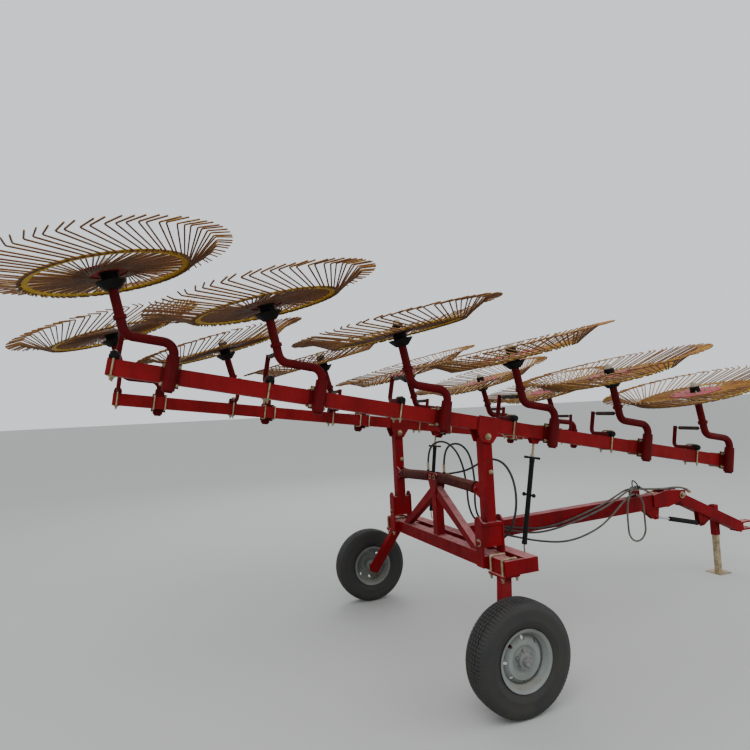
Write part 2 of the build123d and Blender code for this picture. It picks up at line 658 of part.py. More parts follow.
def cross_gusset(side, start, half):
    """Flat triangle that stiffens the tongue's root, welded to the front beam."""
    outline = [(start, side * half), (start, side * (half + 150)), (start + 220, side * half)]
    face = make_face(Polyline(*[(x, y, FRAME_TOP - 40) for x, y in outline], close=True))
    return extrude(face, amount=12, dir=(0, 0, 1))


def front_z(x):
    return FRONT_Z - (x - KNEE_X - 24) * tan(radians(FRONT_SLOPE))


def tongue_front():
    half = TONGUE_W / 2
    rise = FRONT_H / 2 / cos(radians(FRONT_SLOPE))
    x0, x1 = FRONT_START, FRONT_END
    outline = [(x0, front_z(x0) - rise), (x1, front_z(x1) - rise), (x1, front_z(x1) + rise),
               (x0, front_z(x0) + rise)]
    body = side_plate(outline, -half, half)
    neck = [(KNEE_X - 20, KNEE_Z + 42), (KNEE_X + 20, KNEE_Z + 44), (x0 + 30, front_z(x0 + 30) + rise),
            (x0 + 30, front_z(x0 + 30) - rise), (x0 - 30, front_z(x0) - rise), (KNEE_X - 32, KNEE_Z - 34)]
    body += side_plate(neck, -half, half)
    body += rod((KNEE_X, -half, KNEE_Z), (KNEE_X, half, KNEE_Z), 46)
    reach = half + KNEE_GAP + KNEE_PLATE + 14
    body += rod((KNEE_X, -reach, KNEE_Z), (KNEE_X, reach, KNEE_Z), KNEE_PIN_R)
    bx, bz = KNEE_B
    for side in (-1, 1):
        y0, y1 = sorted((side * (KNEE_LUG_GAP / 2), side * (KNEE_LUG_GAP / 2 + KNEE_LUG)))
        body += side_plate([(bx - 40, front_z(bx - 40) - 30), (bx + 170, front_z(bx + 170) - 30),
                            (bx + 30, bz - 24), (bx - 24, bz - 24)], y0, y1)
    body -= rod((bx, -200, bz), (bx, 200, bz), KNEE_CYL_PIN_R + RUN_GAP)
    body += hitch()
    body += jack_sleeve()
    inner = JACK_IN / 2 + JACK_SLIDE
    y = half + JACK_OUT / 2
    body -= box(JACK_X - inner, JACK_X + inner, y - inner, y + inner, JACK_LOW - 50, JACK_HIGH + 50)
    return body


def hitch():
    body = box(FRONT_END - 60, FRONT_END + 40, -HITCH_W / 2, HITCH_W / 2,
               HITCH_Z - HITCH_GAP / 2 - HITCH_PLATE, HITCH_Z + HITCH_GAP / 2 + HITCH_PLATE)
    for side in (-1, 1):
        z0, z1 = sorted((HITCH_Z + side * HITCH_GAP / 2, HITCH_Z + side * (HITCH_GAP / 2 + HITCH_PLATE)))
        body += box(FRONT_END, HITCH_X, -HITCH_W / 2, HITCH_W / 2, z0, z1)
        body += Pos(HITCH_X, 0, (z0 + z1) / 2) * Cylinder(HITCH_W / 2, HITCH_PLATE)
    return body - Pos(HITCH_X, 0, HITCH_Z) * Cylinder(HITCH_HOLE_R, HITCH_GAP * 3)


def jack_sleeve():
    y = TONGUE_W / 2
    outer = JACK_OUT / 2
    return box(JACK_X - outer, JACK_X + outer, y - 2, y + JACK_OUT, JACK_LOW, JACK_HIGH)


def jack_leg():
    y = TONGUE_W / 2 + JACK_OUT / 2
    half = JACK_IN / 2
    leg = box(JACK_X - half, JACK_X + half, y - half, y + half, FOOT_T, JACK_LEG_TOP)
    foot = box(JACK_X - FOOT_L / 2, JACK_X + FOOT_L / 2, y - FOOT_L / 2, y + FOOT_L / 2, 0, FOOT_T)
    return leg + foot


KNEE_L = hypot(KNEE_B[0] - KNEE_A[0], KNEE_B[1] - KNEE_A[1])


def knee_plane():
    run = Vector(KNEE_A[0] - KNEE_B[0], 0, KNEE_A[1] - KNEE_B[1])
    return Plane(origin=(KNEE_B[0], 0, KNEE_B[1]), x_dir=(0, 1, 0), z_dir=run)


def knee_barrel():
    body = Rot(0, 90, 0) * Cylinder(KNEE_EYE_R, KNEE_EYE_W)
    body += stack(KNEE_ROD_R + 3, 0, KNEE_CYL_START + 8)
    body += stack(KNEE_CYL_R, KNEE_CYL_START, KNEE_CYL_END)
    body -= stack(KNEE_ROD_R + 0.5, KNEE_CYL_START + 12, KNEE_CYL_END + 10)
    return body + Rot(0, 90, 0) * Cylinder(KNEE_CYL_PIN_R, KNEE_LUG_GAP + 2 * KNEE_LUG + 16)


def knee_rod():
    body = stack(KNEE_ROD_R, KNEE_CYL_START + 80, KNEE_L)
    return body + Pos(0, 0, KNEE_L) * Rot(0, 90, 0) * Cylinder(KNEE_EYE_R, KNEE_EYE_W)


def hose(node, points):
    """A tube whose arcs are as large as their runs allow, checked against section times length."""
    corners = [Vector(*p) for p in points]
    bends = []
    for before, at, after in zip(corners, corners[1:], corners[2:]):
        turn = radians((at - before).get_angle(after - at))
        shorter = min((at - before).length, (after - at).length)
        bends.append(HOSE_SHARE * shorter / tan(turn / 2))
    path = FilletPolyline(*points, radius=bends)
    tube = sweep(Plane(origin=path @ 0, z_dir=path % 0) * Circle(HOSE_R), path=path)
    share = tube.volume / (path.length * Circle(HOSE_R).area)
    print(f"{node}: {path.length:.0f} mm long, smallest bend {min(bends):.0f} mm, volume {share:.4f} of its due")
    return tube


def save(shape, node, shift=-ORIGIN_X):
    export_step(Pos(shift, 0, 0) * shape, f"parts/{node}.step")


def save_many(shapes, node):
    export_step(Compound(children=[Pos(-ORIGIN_X, 0, 0) * shape for shape in shapes]), f"parts/{node}.step")


def main():
    os.makedirs("parts", exist_ok=True)
    save(cart_frame(), "cart_frame")
    save(a_frame(), "a_frame")
    right_leg = wheel_leg()
    bolts = leg_ubolts()
    save_many([right_leg, mirror(right_leg, about=Plane.XZ)], "wheel_legs")
    save_many(bolts + [mirror(b, about=Plane.XZ) for b in bolts], "leg_ubolts")
    save_many(tongue_rear(), "tongue_rear")
    save(tongue_front(), "tongue_front")
    save(knee_plane().location * knee_barrel(), "knee_barrel")
    save(knee_plane().location * knee_rod(), "knee_rod")
    save(jack_leg(), "jack_leg")
    for node, route in HOSE_ROUTES.items():
        save(hose(node, route), node, shift=0)
    right_tyre, right_rim = tyre(), rim()
    ring, hub = rake_ring(), wheel_hub()
    barrel, piston = lift_barrel(), lift_rod()
    beam, strut_body = boom(), strut()
    for name, side in SIDES:
        place = Pos(0, side * TRACK / 2, TYRE_R)
        save(place * right_tyre, f"tyre_{name}")
        save(place * (right_rim if side < 0 else mirror(right_rim, about=Plane.XZ)), f"rim_{name}")
        save(mast(name, side), f"mast_{name}")
        save(on_lift(barrel, side), f"lift_barrel_{name}")
        save(on_lift(piston, side), f"lift_rod_{name}")
        save(on_boom(beam, name, side), f"boom_{name}")
        save(on_boom(strut_body, name, side), f"strut_{name}")
        rows = (("clamps", unit_clamp), ("cranks", crank), ("hub_housings", hub_housing),
                ("spring_arms", spring_arm), ("springs", spring))
        for node, make in rows:
            save_many([on_boom(make(start), name, side) for start in unit_starts()], f"{node}_{name}")
        for i, start in enumerate(unit_starts()):
            seat = wheel_plane(start).location
            save(on_boom(seat * ring, name, side), f"rake_wheel_{name}{i + 1}")
            save(on_boom(seat * hub, name, side), f"wheel_hub_{name}{i + 1}")


main()
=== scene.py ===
import json
import math

import bpy
from mathutils import Matrix, Vector

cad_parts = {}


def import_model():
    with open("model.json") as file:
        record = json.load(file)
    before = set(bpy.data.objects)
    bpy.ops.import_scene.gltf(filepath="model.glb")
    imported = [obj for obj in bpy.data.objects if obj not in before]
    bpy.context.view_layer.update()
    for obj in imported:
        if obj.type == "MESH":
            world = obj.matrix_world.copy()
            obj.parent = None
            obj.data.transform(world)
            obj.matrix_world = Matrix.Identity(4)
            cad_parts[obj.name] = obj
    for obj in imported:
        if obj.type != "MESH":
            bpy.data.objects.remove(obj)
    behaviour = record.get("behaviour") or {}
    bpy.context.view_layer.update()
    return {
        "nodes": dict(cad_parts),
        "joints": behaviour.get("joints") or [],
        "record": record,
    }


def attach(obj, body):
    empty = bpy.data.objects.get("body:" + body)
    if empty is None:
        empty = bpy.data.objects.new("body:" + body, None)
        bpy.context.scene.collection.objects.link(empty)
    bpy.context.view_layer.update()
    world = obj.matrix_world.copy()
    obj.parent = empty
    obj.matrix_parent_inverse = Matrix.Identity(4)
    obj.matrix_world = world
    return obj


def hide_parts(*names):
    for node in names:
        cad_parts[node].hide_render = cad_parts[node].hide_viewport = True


# Carted V wheel rake: the looks over the CAD frame. Metres, +X forward, +Y to the machine's left, +Z up.

# Camera, from the fit to the photograph: a place, three angles in degrees and a focal length in pixels
CAMERA_AT = (-2.6, -4.254, 1.921)
CAMERA_YAW = 67.3
CAMERA_PITCH = 3.5
CAMERA_ROLL = -2.8
FOCAL_PX = 565
IMAGE_PX = 750
SENSOR_MM = 36
VIEW_FAR = 2000

# Studio: each lamp has a name, a place, a size and a power
SKY_COLOUR = (0.87, 0.9, 0.93, 1)
SKY_STRENGTH = 1.1
LAMPS = (("key", (-5, -6, 9), 6, 420), ("fill", (7, -7, 6), 7, 260), ("back", (2, 8, 7), 6, 220))
LAMPS_AIM = (0.8, 0, 1.2)
FLOOR_HALF = 400
FLOOR_COLOUR = (0.44, 0.45, 0.43)

# Sizes repeated from the part's source, but WIRE_R is thicker than the tines are there, and each wheel
# starts at its own turn
AXLE_X = -0.462
SIDES = (("R", -1), ("L", 1))
UNITS = 6
WHEEL_R = 0.35
TYRE_HALF = 0.09
BEAD_R = 0.176
BOOM_HALF_W = 0.05
BOOM_HALF_H = 0.048
BOOM_RISE = 0.088
UNIT_FIRST = -2.178
UNIT_PITCH = 0.903
UNIT_OUT = 0.094
CLAMP_T = 0.012
ARM_BACK = 0.317
ARM_R = 0.016
ARM_SEAT = BOOM_RISE + BOOM_HALF_H + ARM_R + 0.0103
ARM_IN = 0.18
ARM_UP = 0.18
CRANK_UP = 0.187
CRANK_BACK = 0.28
CRANK_R = 0.028
LOUVRE = math.radians(22.5)
RIM_IN = 0.406
RIM_OUT = 0.46
RIM_T = 0.005
TINES = 76
WIRE_R = 0.0048
TINE_LEVEL = 0.0087
TINE_ROOT_R = 0.162
TINE_INNER = 0.09
TINE_HOLE_R = 0.432
TINE_HOOK_R = 0.446
TINE_UNDER = 0.034
TINE_LEAD = math.radians(-22)
TINE_RUN = 0.29
TINE_SWEEP = math.radians(-64)
TINE_RISE = 0.077
TIP_L = 0.117
TIP_SWEEP = math.radians(17)
PLATE_R = 0.19
PLATE_LOW = 0.0119
PLATE_T = 0.006
WHEEL_TURN = 0.31
LEFT_TURN = 0.17

# Bolts, springs and welds on the booms
BOOM_TOP = BOOM_RISE + BOOM_HALF_H
BOOM_LOW = BOOM_RISE - BOOM_HALF_H
U_BOLT_R = 0.006
U_BOLT_SIDE = BOOM_HALF_W + 0.0065
U_BOLT_OVER = 0.0075
BRACKET_BOLTS = 0.044
BRACKET_FACE = BOOM_HALF_W + CLAMP_T
THREAD_OUT = 0.014
THREAD_DOWN = 0.03
ARM_PLATE = (0.02, BOOM_HALF_W + 0.02, 0.006)
COVER_HALF = 0.026
COVER_FROM = 0.3
COVER_TO = 0.98
SPRING_TURNS = 34
SPRING_STEPS = 9
SPRING_R = 0.0131
SPRING_WIRE = 0.0031
SPRING_LOOP = 0.012
SLEEVE_WELD = 0.03

# Places on the cart and the masts, with x from the axle, but MAST_NUT_X from the mast's hinge
LEG_X = 0.164
LEG_Y = 0.89
LEG_PLATE_LOW = 0.738
LEG_BOLT_END = 0.706
LEG_BOLTS = [(x, y) for x in (-0.0583, 0.0583) for y in (-0.068, 0.068)]
HINGE_Y = 0.75
HINGE_Z = 0.94
HINGE_PIN_FACES = ((0.2521, 1), (0.0639, -1))
COTTERS = (0.0565, 0.2595)
REAR_BEAM_FACES = ((0.114, -1), (0.214, 1))
CROSS_TOP = 0.853
POST_X = 0.156
POST_HALF = 0.035
TONGUE_END = 0.3855
TONGUE_HALF = 0.05
MAST_NUT_X = 0.016
MAST_NUT_Z = 1.436
MAST_SLOT_Z = 1.516
MAST_SLOT_R = 0.0055
MAST_SLOT_HALF = 0.007
BEAD_STEP = 0.008
BEAD_RIPPLE = 0.0012

# The strut in the boom's own frame: its line, and the top and underside of its threaded part
STRUT_X = 0.433
STRUT_TOP = 0.0397
STRUT_LOW = -0.1103

# Mesh helpers: the widening of a bend stops at SHARPEST_BEND, a thinner end than POINTED gets no cap,
# and a smaller turn than STRAIGHT gets no arc
FLAT = Matrix.Identity(4)
UP = (0, 0, 1)
DOWN = (0, 0, -1)
SHARPEST_BEND = 0.7
POINTED = 1e-5
STRAIGHT = 0.02

# Hooks on the tongue: points with x from the axle, bend radius and wire radius
HOOKS = (
    ([(2.25, -0.043, 0.934), (2.25, -0.043, 0.9665), (2.25, -0.114, 0.9665), (2.25, -0.114, 0.996)],
     0.012, 0.005),
    ([(2.322, 0.009, 1.0), (2.322, 0.009, 1.034), (2.322, -0.1, 1.034), (2.322, -0.1, 1.06)],
     0.01, 0.0048),
    ([(2.36, 0.022, 0.936), (2.36, 0.022, 1.075), (2.33, -0.015, 1.1), (2.30, -0.065, 1.1),
      (2.285, -0.11, 1.08), (2.28, -0.122, 1.045)], 0.03, 0.006),
)

# Hoses, with x from the part's origin; they are drawn a little thinner than the solids
HOSE_D = 0.018
HOSE_DRAWN = 0.97
HOSE_ROUTES = {
    "hose_lift_R": [(-0.306, -0.138, 1.384), (-0.304, -0.138, 1.492), (-0.257, -0.134, 1.598),
                    (-0.144, -0.121, 1.61), (-0.048, -0.107, 1.535), (0, -0.092, 1.4), (0.02, -0.078, 1.23),
                    (0.012, -0.066, 1.07), (0.048, -0.062, 0.945), (0.178, -0.062, 0.88),
                    (0.398, -0.062, 0.83), (0.788, -0.066, 0.775), (1.418, -0.062, 0.915),
                    (1.618, -0.058, 0.99), (1.768, -0.024, 1.024), (1.898, -0.002, 1.015),
                    (2.098, -0.002, 0.994), (2.298, 0, 0.977), (2.428, 0.002, 0.978), (2.528, 0.006, 0.97),
                    (2.608, 0.009, 0.944), (2.663, 0.011, 0.908)],
    "hose_lift_L": [(-0.306, 0.138, 1.384), (-0.304, 0.138, 1.505), (-0.257, 0.128, 1.605),
                    (-0.157, 0.096, 1.622), (-0.077, 0.048, 1.543), (-0.04, 0.004, 1.41),
                    (-0.037, -0.038, 1.24), (-0.057, -0.076, 1.075), (-0.022, -0.102, 0.955),
                    (0.098, -0.104, 0.89), (0.298, -0.098, 0.83), (0.688, -0.092, 0.74),
                    (1.338, -0.084, 0.865), (1.608, -0.084, 0.968), (1.768, -0.058, 1.024),
                    (1.898, -0.026, 1.015), (2.098, -0.026, 0.994), (2.298, -0.026, 0.977),
                    (2.418, -0.027, 0.979), (2.508, -0.03, 0.972), (2.578, -0.033, 0.95),
                    (2.628, -0.036, 0.915)],
    "hose_cross": [(-0.23, 0, 1.345), (-0.122, -0.006, 1.348), (-0.06, -0.1, 1.375), (-0.07, -0.25, 1.425),
                   (-0.102, -0.42, 1.48), (-0.122, -0.59, 1.505), (-0.127, -0.73, 1.48),
                   (-0.117, -0.805, 1.39), (-0.11, -0.83, 1.265), (-0.112, -0.815, 1.13),
                   (-0.12, -0.755, 1.005), (-0.126, -0.66, 0.915), (-0.122, -0.52, 0.868),
                   (-0.102, -0.35, 0.863), (-0.032, -0.215, 0.863), (0.098, -0.15, 0.85),
                   (0.298, -0.134, 0.79), (0.598, -0.13, 0.7), (0.938, -0.128, 0.645),
                   (1.288, -0.122, 0.715), (1.498, -0.112, 0.83), (1.648, -0.1, 0.932),
                   (1.765, -0.094, 0.989), (1.841, -0.097, 0.972), (1.89, -0.102, 0.911),
                   (1.892, -0.106, 0.8), (1.892, -0.109, 0.7), (1.89, -0.112, 0.612),
                   (1.823, -0.116, 0.545), (1.727, -0.121, 0.545), (1.66, -0.126, 0.612),
                   (1.654, -0.128, 0.71), (1.654, -0.128, 0.81), (1.668, -0.125, 0.91),
                   (1.724, -0.11, 1.003), (1.813, -0.083, 1.058), (1.908, -0.062, 1.042),
                   (1.998, -0.048, 0.985), (2.098, -0.04, 0.957)],
}


def main():
    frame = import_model()
    camera()
    paints = materials()
    hoses(paints)
    studio()
    dress_nodes(frame, paints)
    for name, side in SIDES:
        ground_wheel(frame, paints, name, side)
        boom_details(frame, paints, name, side)
        rake_wheels(frame, paints, name, side)
    cart_details(frame, paints)


# Camera, lights and floor
def camera():
    """The photograph's camera, with its roll."""
    yaw, pitch, roll = (math.radians(a) for a in (CAMERA_YAW, CAMERA_PITCH, CAMERA_ROLL))
    forward = Vector((math.cos(pitch) * math.cos(yaw), math.cos(pitch) * math.sin(yaw), math.sin(pitch)))
    right = forward.cross(Vector((0, 0, 1))).normalized()
    up = right.cross(forward)
    right, up = math.cos(roll) * right + math.sin(roll) * up, math.cos(roll) * up - math.sin(roll) * right
    data = bpy.data.cameras.new("camera")
    data.sensor_width = SENSOR_MM
    data.lens = FOCAL_PX / IMAGE_PX * data.sensor_width
    data.clip_end = VIEW_FAR
    eye = bpy.data.objects.new("camera", data)
    turn = Matrix((right, up, -forward)).transposed().to_4x4()
    eye.matrix_world = Matrix.Translation(CAMERA_AT) @ turn
    bpy.context.collection.objects.link(eye)
    bpy.context.scene.camera = eye


def studio():
    """A pale sky, three lamps and a floor that isn't part of the machine."""
    world = bpy.data.worlds.new("studio")
    world.use_nodes = True
    sky = world.node_tree.nodes["Background"]
    sky.inputs["Color"].default_value = SKY_COLOUR
    sky.inputs["Strength"].default_value = SKY_STRENGTH
    bpy.context.scene.world = world
    for name, at, size, power in LAMPS:
        data = bpy.data.lights.new(name, "AREA")
        data.size = size
        data.energy = power
        lamp = bpy.data.objects.new(name, data)
        lamp.location = at
        lamp.rotation_euler = (Vector(LAMPS_AIM) - Vector(at)).to_track_quat("-Z", "Y").to_euler()
        bpy.context.collection.objects.link(lamp)
    mesh = bpy.data.meshes.new("floor")
    corners = [(x * FLOOR_HALF, y * FLOOR_HALF, 0) for x, y in ((-1, -1), (1, -1), (1, 1), (-1, 1))]
    mesh.from_pydata(corners, [], [(0, 1, 2, 3)])
    floor = bpy.data.objects.new("floor", mesh)
    bpy.context.collection.objects.link(floor)
    mesh.materials.append(plain("floor", FLOOR_COLOUR, 0.9))


# Materials
def plain(name, colour, rough, metal=0.0):
    """A material of one colour."""
    made = bpy.data.materials.new(name)
    made.use_nodes = True
    shader = made.node_tree.nodes["Principled BSDF"]
    shader.inputs["Base Color"].default_value = (*colour, 1)
    shader.inputs["Roughness"].default_value = rough
    shader.inputs["Metallic"].default_value = metal
    return made


class Recipe:
    """A small helper that adds nodes to one material."""

    def __init__(self, name, rough=0.5, metal=0.0):
        self.material = plain(name, (0.5, 0.5, 0.5), rough, metal)
        self.nodes = self.material.node_tree.nodes
        self.links = self.material.node_tree.links
        self.shader = self.nodes["Principled BSDF"]
        self.place = self.nodes.new("ShaderNodeTexCoord").outputs["Object"]
        self.geometry = self.nodes.new("ShaderNodeNewGeometry")

    def noise(self, scale, detail=4, rough=0.6, stretch=None):
        """Noise in the piece's own space, drawn out where stretch is small."""
        source = self.place
        if stretch:
            mapping = self.nodes.new("ShaderNodeMapping")
            mapping.inputs["Scale"].default_value = stretch
            self.links.new(source, mapping.inputs["Vector"])
            source = mapping.outputs["Vector"]
        node = self.nodes.new("ShaderNodeTexNoise")
        node.inputs["Scale"].default_value = scale
        node.inputs["Detail"].default_value = detail
        node.inputs["Roughness"].default_value = rough
        self.links.new(source, node.inputs["Vector"])
        return node.outputs["Fac"]

    def ramp(self, value, low, high, to_low=0.0, to_high=1.0):
        """A smooth step from to_low to to_high while the value goes from low to high."""
        node = self.nodes.new("ShaderNodeMapRange")
        node.interpolation_type = "SMOOTHSTEP"
        for key, number in (("From Min", low), ("From Max", high), ("To Min", to_low), ("To Max", to_high)):
            node.inputs[key].default_value = number
        self.links.new(value, node.inputs["Value"])
        return node.outputs["Result"]

    def math(self, kind, a, b):
        """A sum or product; a and b are numbers or other nodes' outputs."""
        node = self.nodes.new("ShaderNodeMath")
        node.operation = kind
        for socket, value in zip(node.inputs, (a, b)):
            if isinstance(value, (int, float)):
                socket.default_value = value
            else:
                self.links.new(value, socket)
        return node.outputs[0]

    def mix(self, factor, a, b):
        """Colour a turning into b; each is a tuple or another node's output."""
        node = self.nodes.new("ShaderNodeMix")
        node.data_type = "RGBA"
        self.links.new(factor, node.inputs[0])
        for socket, value in ((node.inputs[6], a), (node.inputs[7], b)):
            if isinstance(value, tuple):
                socket.default_value = (*value, 1)
            else:
                self.links.new(value, socket)
        return node.outputs[2]

    def facing_up(self, low, high):
        """0 where a face's normal rises less than low, 1 where it rises more than high."""
        node = self.nodes.new("ShaderNodeSeparateXYZ")
        self.links.new(self.geometry.outputs["Normal"], node.inputs[0])
        return self.ramp(node.outputs["Z"], low, high)

    def edges(self, radius):
        """The normal rounded at the edges, and a factor that is 1 along them."""
        bevel = self.nodes.new("ShaderNodeBevel")
        bevel.samples = 4
        bevel.inputs["Radius"].default_value = radius
        dot = self.nodes.new("ShaderNodeVectorMath")
        dot.operation = "DOT_PRODUCT"
        self.links.new(bevel.outputs["Normal"], dot.inputs[0])
        self.links.new(self.geometry.outputs["Normal"], dot.inputs[1])
        return bevel.outputs["Normal"], self.ramp(dot.outputs["Value"], 0.985, 0.9)

    def bump(self, height, strength, distance, normal=None):
        """Fine relief, over the rounded normal where there is one."""
        node = self.nodes.new("ShaderNodeBump")
        node.inputs["Strength"].default_value = strength
        node.inputs["Distance"].default_value = distance
        self.links.new(height, node.inputs["Height"])
        if normal:
            self.links.new(normal, node.inputs["Normal"])
        self.links.new(node.outputs["Normal"], self.shader.inputs["Normal"])

    def colour(self, value):
        self.links.new(value, self.shader.inputs["Base Color"])

    def roughness(self, value):
        self.links.new(value, self.shader.inputs["Roughness"])


def paint(name, base, deep, dust, worn, dust_amount=0.75, rough=0.5, radius=0.004):
    """Painted steel: mottled and streaked colour, dust and stains on top faces, rubbed edges."""
    r = Recipe(name)
    r.shader.inputs["Specular IOR Level"].default_value = 0.1
    broad = r.ramp(r.noise(2.3, 5), 0.35, 0.68)
    streak = r.ramp(r.noise(9.0, 6, 0.7, (1, 1, 0.16)), 0.42, 0.7)
    body = r.mix(r.math("MULTIPLY", r.math("ADD", broad, streak), 0.5), base, deep)
    settled = r.math("MULTIPLY", r.facing_up(0.4, 0.9), r.ramp(r.noise(7.0, 6), 0.2, 0.6, 0.4, 1.0))
    body = r.mix(r.math("MULTIPLY", settled, dust_amount), body, dust)
    specks = r.ramp(r.noise(46.0, 5, 0.75), 0.63, 0.72)
    body = r.mix(r.math("MULTIPLY", specks, 0.14), body, dust)
    stains = r.math("MULTIPLY", settled, r.ramp(r.noise(38.0, 4, 0.7), 0.56, 0.64))
    body = r.mix(r.math("MULTIPLY", stains, 0.6), body, worn)
    normal, edge = r.edges(radius)
    rubbed = r.math("MULTIPLY", edge, r.ramp(r.noise(28.0, 5, 0.7), 0.47, 0.62))
    body = r.mix(rubbed, body, worn)
    r.colour(body)
    patchy = r.ramp(r.noise(15.0, 4), 0.3, 0.7, rough, rough + 0.18)
    r.roughness(r.math("ADD", r.math("MULTIPLY", settled, 0.35), patchy))
    r.bump(r.noise(60.0, 3), 0.12, 0.0006, normal)
    return r.material


def wire_finish():
    """Tine wire with painted light and shade: golden brown where a face points up, dark brown where it
    points down or sideways.
    """
    r = Recipe("tine_gold", 0.5)
    r.shader.inputs["Specular IOR Level"].default_value = 0.3
    patches = r.ramp(r.noise(5.0, 5, 0.7), 0.36, 0.62)
    fine = r.ramp(r.noise(34.0, 5, 0.7), 0.4, 0.66)
    # Painted shade: the dark brown for wire faces that point down or sideways.
    painted_shade = r.mix(patches, (0.06, 0.026, 0.012), (0.11, 0.042, 0.016))
    # Painted light: the golden brown for wire faces that point up.
    painted_light = r.mix(patches, (0.44, 0.22, 0.02), (0.27, 0.1, 0.015))
    # The painted light and shade blend by how far each face points up.
    body = r.mix(r.facing_up(-0.35, 0.5), painted_shade, painted_light)
    body = r.mix(r.math("MULTIPLY", fine, 0.6), body, (0.09, 0.034, 0.015))
    r.colour(body)
    r.roughness(r.ramp(fine, 0, 1, 0.4, 0.7))
    r.bump(r.noise(160.0, 3), 0.25, 0.0006)
    return r.material


def tyre_finish():
    """Black rubber with pale dust in patches."""
    r = Recipe("tyre_rubber", 0.78)
    settled = r.ramp(r.noise(6.0, 6, 0.7), 0.35, 0.7)
    body = r.mix(r.math("MULTIPLY", settled, 0.5), (0.011, 0.011, 0.011), (0.05, 0.045, 0.034))
    r.colour(body)
    r.roughness(r.ramp(settled, 0, 1, 0.62, 0.9))
    r.bump(r.noise(90.0, 4), 0.2, 0.0008)
    return r.material


def hose_finish():
    """Black rubber near the cart, grey-beige with dust further along the tongue."""
    r = Recipe("hose_rubber", 0.8)
    spread = r.nodes.new("ShaderNodeSeparateXYZ")
    r.links.new(r.place, spread.inputs[0])
    along = r.ramp(spread.outputs["X"], 0.2, 1.7, 0.12, 0.9)
    settled = r.ramp(r.noise(14.0, 6, 0.7), 0.3, 0.62, 0.35, 1.0)
    r.colour(r.mix(r.math("MULTIPLY", along, settled), (0.008, 0.008, 0.008), (0.15, 0.13, 0.105)))
    r.bump(r.noise(90.0, 4), 0.2, 0.0008)
    return r.material


def metal(name, base, tint, rough, metallic, scale=20.0):
    """Bare or plated steel with patches of a second colour."""
    r = Recipe(name, rough, metallic)
    r.colour(r.mix(r.ramp(r.noise(scale, 6, 0.7), 0.35, 0.68), base, tint))
    r.roughness(r.ramp(r.noise(scale * 1.7, 4), 0.3, 0.7, rough, rough + 0.2))
    r.bump(r.noise(120.0, 3), 0.1, 0.0005)
    return r.material


def materials():
    """Every finish under the name of its slot. Paint takes its colour, deep colour, dust and chips."""
    pink = (0.48, 0.22, 0.22)
    chip = (0.06, 0.02, 0.014)
    return {
        "frame_red": paint("frame_red", (0.19, 0.001, 0.004), (0.09, 0.001, 0.003), pink, chip, 0.85),
        "boom_red": paint("boom_red", (0.22, 0.006, 0.008), (0.11, 0.003, 0.004), pink, chip),
        "crank_red": paint("crank_red", (0.11, 0.001, 0.003), (0.05, 0.001, 0.002), (0.2, 0.06, 0.055),
                           chip, 0.5),
        "cylinder_red": paint("cylinder_red", (0.07, 0.007, 0.005), (0.035, 0.004, 0.003),
                              (0.17, 0.08, 0.06), chip, 0.7),
        "plate_red": paint("plate_red", (0.27, 0.012, 0.018), (0.17, 0.006, 0.01), (0.48, 0.15, 0.17),
                           (0.07, 0.012, 0.012), 0.7),
        "black_paint": paint("black_paint", (0.006, 0.006, 0.006), (0.011, 0.01, 0.009), (0.05, 0.046, 0.04),
                             (0.06, 0.035, 0.02), 0.4, 0.42),
        "rim_yellow": paint("rim_yellow", (0.44, 0.27, 0.004), (0.29, 0.15, 0.004), (0.4, 0.29, 0.1),
                            (0.12, 0.04, 0.012), 0.3, 0.45, 0.002),
        "rim_grey": paint("rim_grey", (0.21, 0.23, 0.22), (0.13, 0.135, 0.12), (0.2, 0.175, 0.13),
                          (0.07, 0.035, 0.02), 0.5, 0.45, 0.003),
        "cap_grey": paint("cap_grey", (0.43, 0.39, 0.29), (0.28, 0.25, 0.18), (0.32, 0.28, 0.2),
                          (0.12, 0.08, 0.05), 0.4, 0.4, 0.002),
        "tine_gold": wire_finish(),
        "tyre_rubber": tyre_finish(),
        "hose_rubber": hose_finish(),
        "zinc": metal("zinc", (0.46, 0.38, 0.24), (0.22, 0.16, 0.09), 0.45, 0.75),
        "steel": metal("steel", (0.3, 0.3, 0.3), (0.12, 0.11, 0.1), 0.5, 0.7),
        "spring_steel": metal("spring_steel", (0.09, 0.075, 0.06), (0.045, 0.03, 0.022), 0.55, 0.5),
        "chrome": metal("chrome", (0.6, 0.6, 0.62), (0.45, 0.44, 0.43), 0.14, 1.0, 8.0),
        # Painted shade: near-black matte for the plates that stand in for the shade inside the mast's slots.
        "painted_shade": plain("painted_shade", (0.004, 0.003, 0.003), 0.8),
    }


def dress_nodes(frame, paints):
    """Every CAD node gets the finish that the record names for it."""
    for row in frame["record"]["subparts"]:
        for slot in frame["nodes"][row["node"]].material_slots:
            slot.material = paints[row["material_slot"]]


# Mesh helpers
def add_mesh(name, verts, faces, finishes, marks=None):
    """A smooth mesh; marks give the number of each face's finish."""
    mesh = bpy.data.meshes.new(name)
    mesh.from_pydata([tuple(v) for v in verts], [], faces)
    for finish in finishes:
        mesh.materials.append(finish)
    if marks:
        mesh.polygons.foreach_set("material_index", marks)
    mesh.polygons.foreach_set("use_smooth", [True] * len(mesh.polygons))
    mesh.update()
    piece = bpy.data.objects.new(name, mesh)
    bpy.context.collection.objects.link(piece)
    return piece


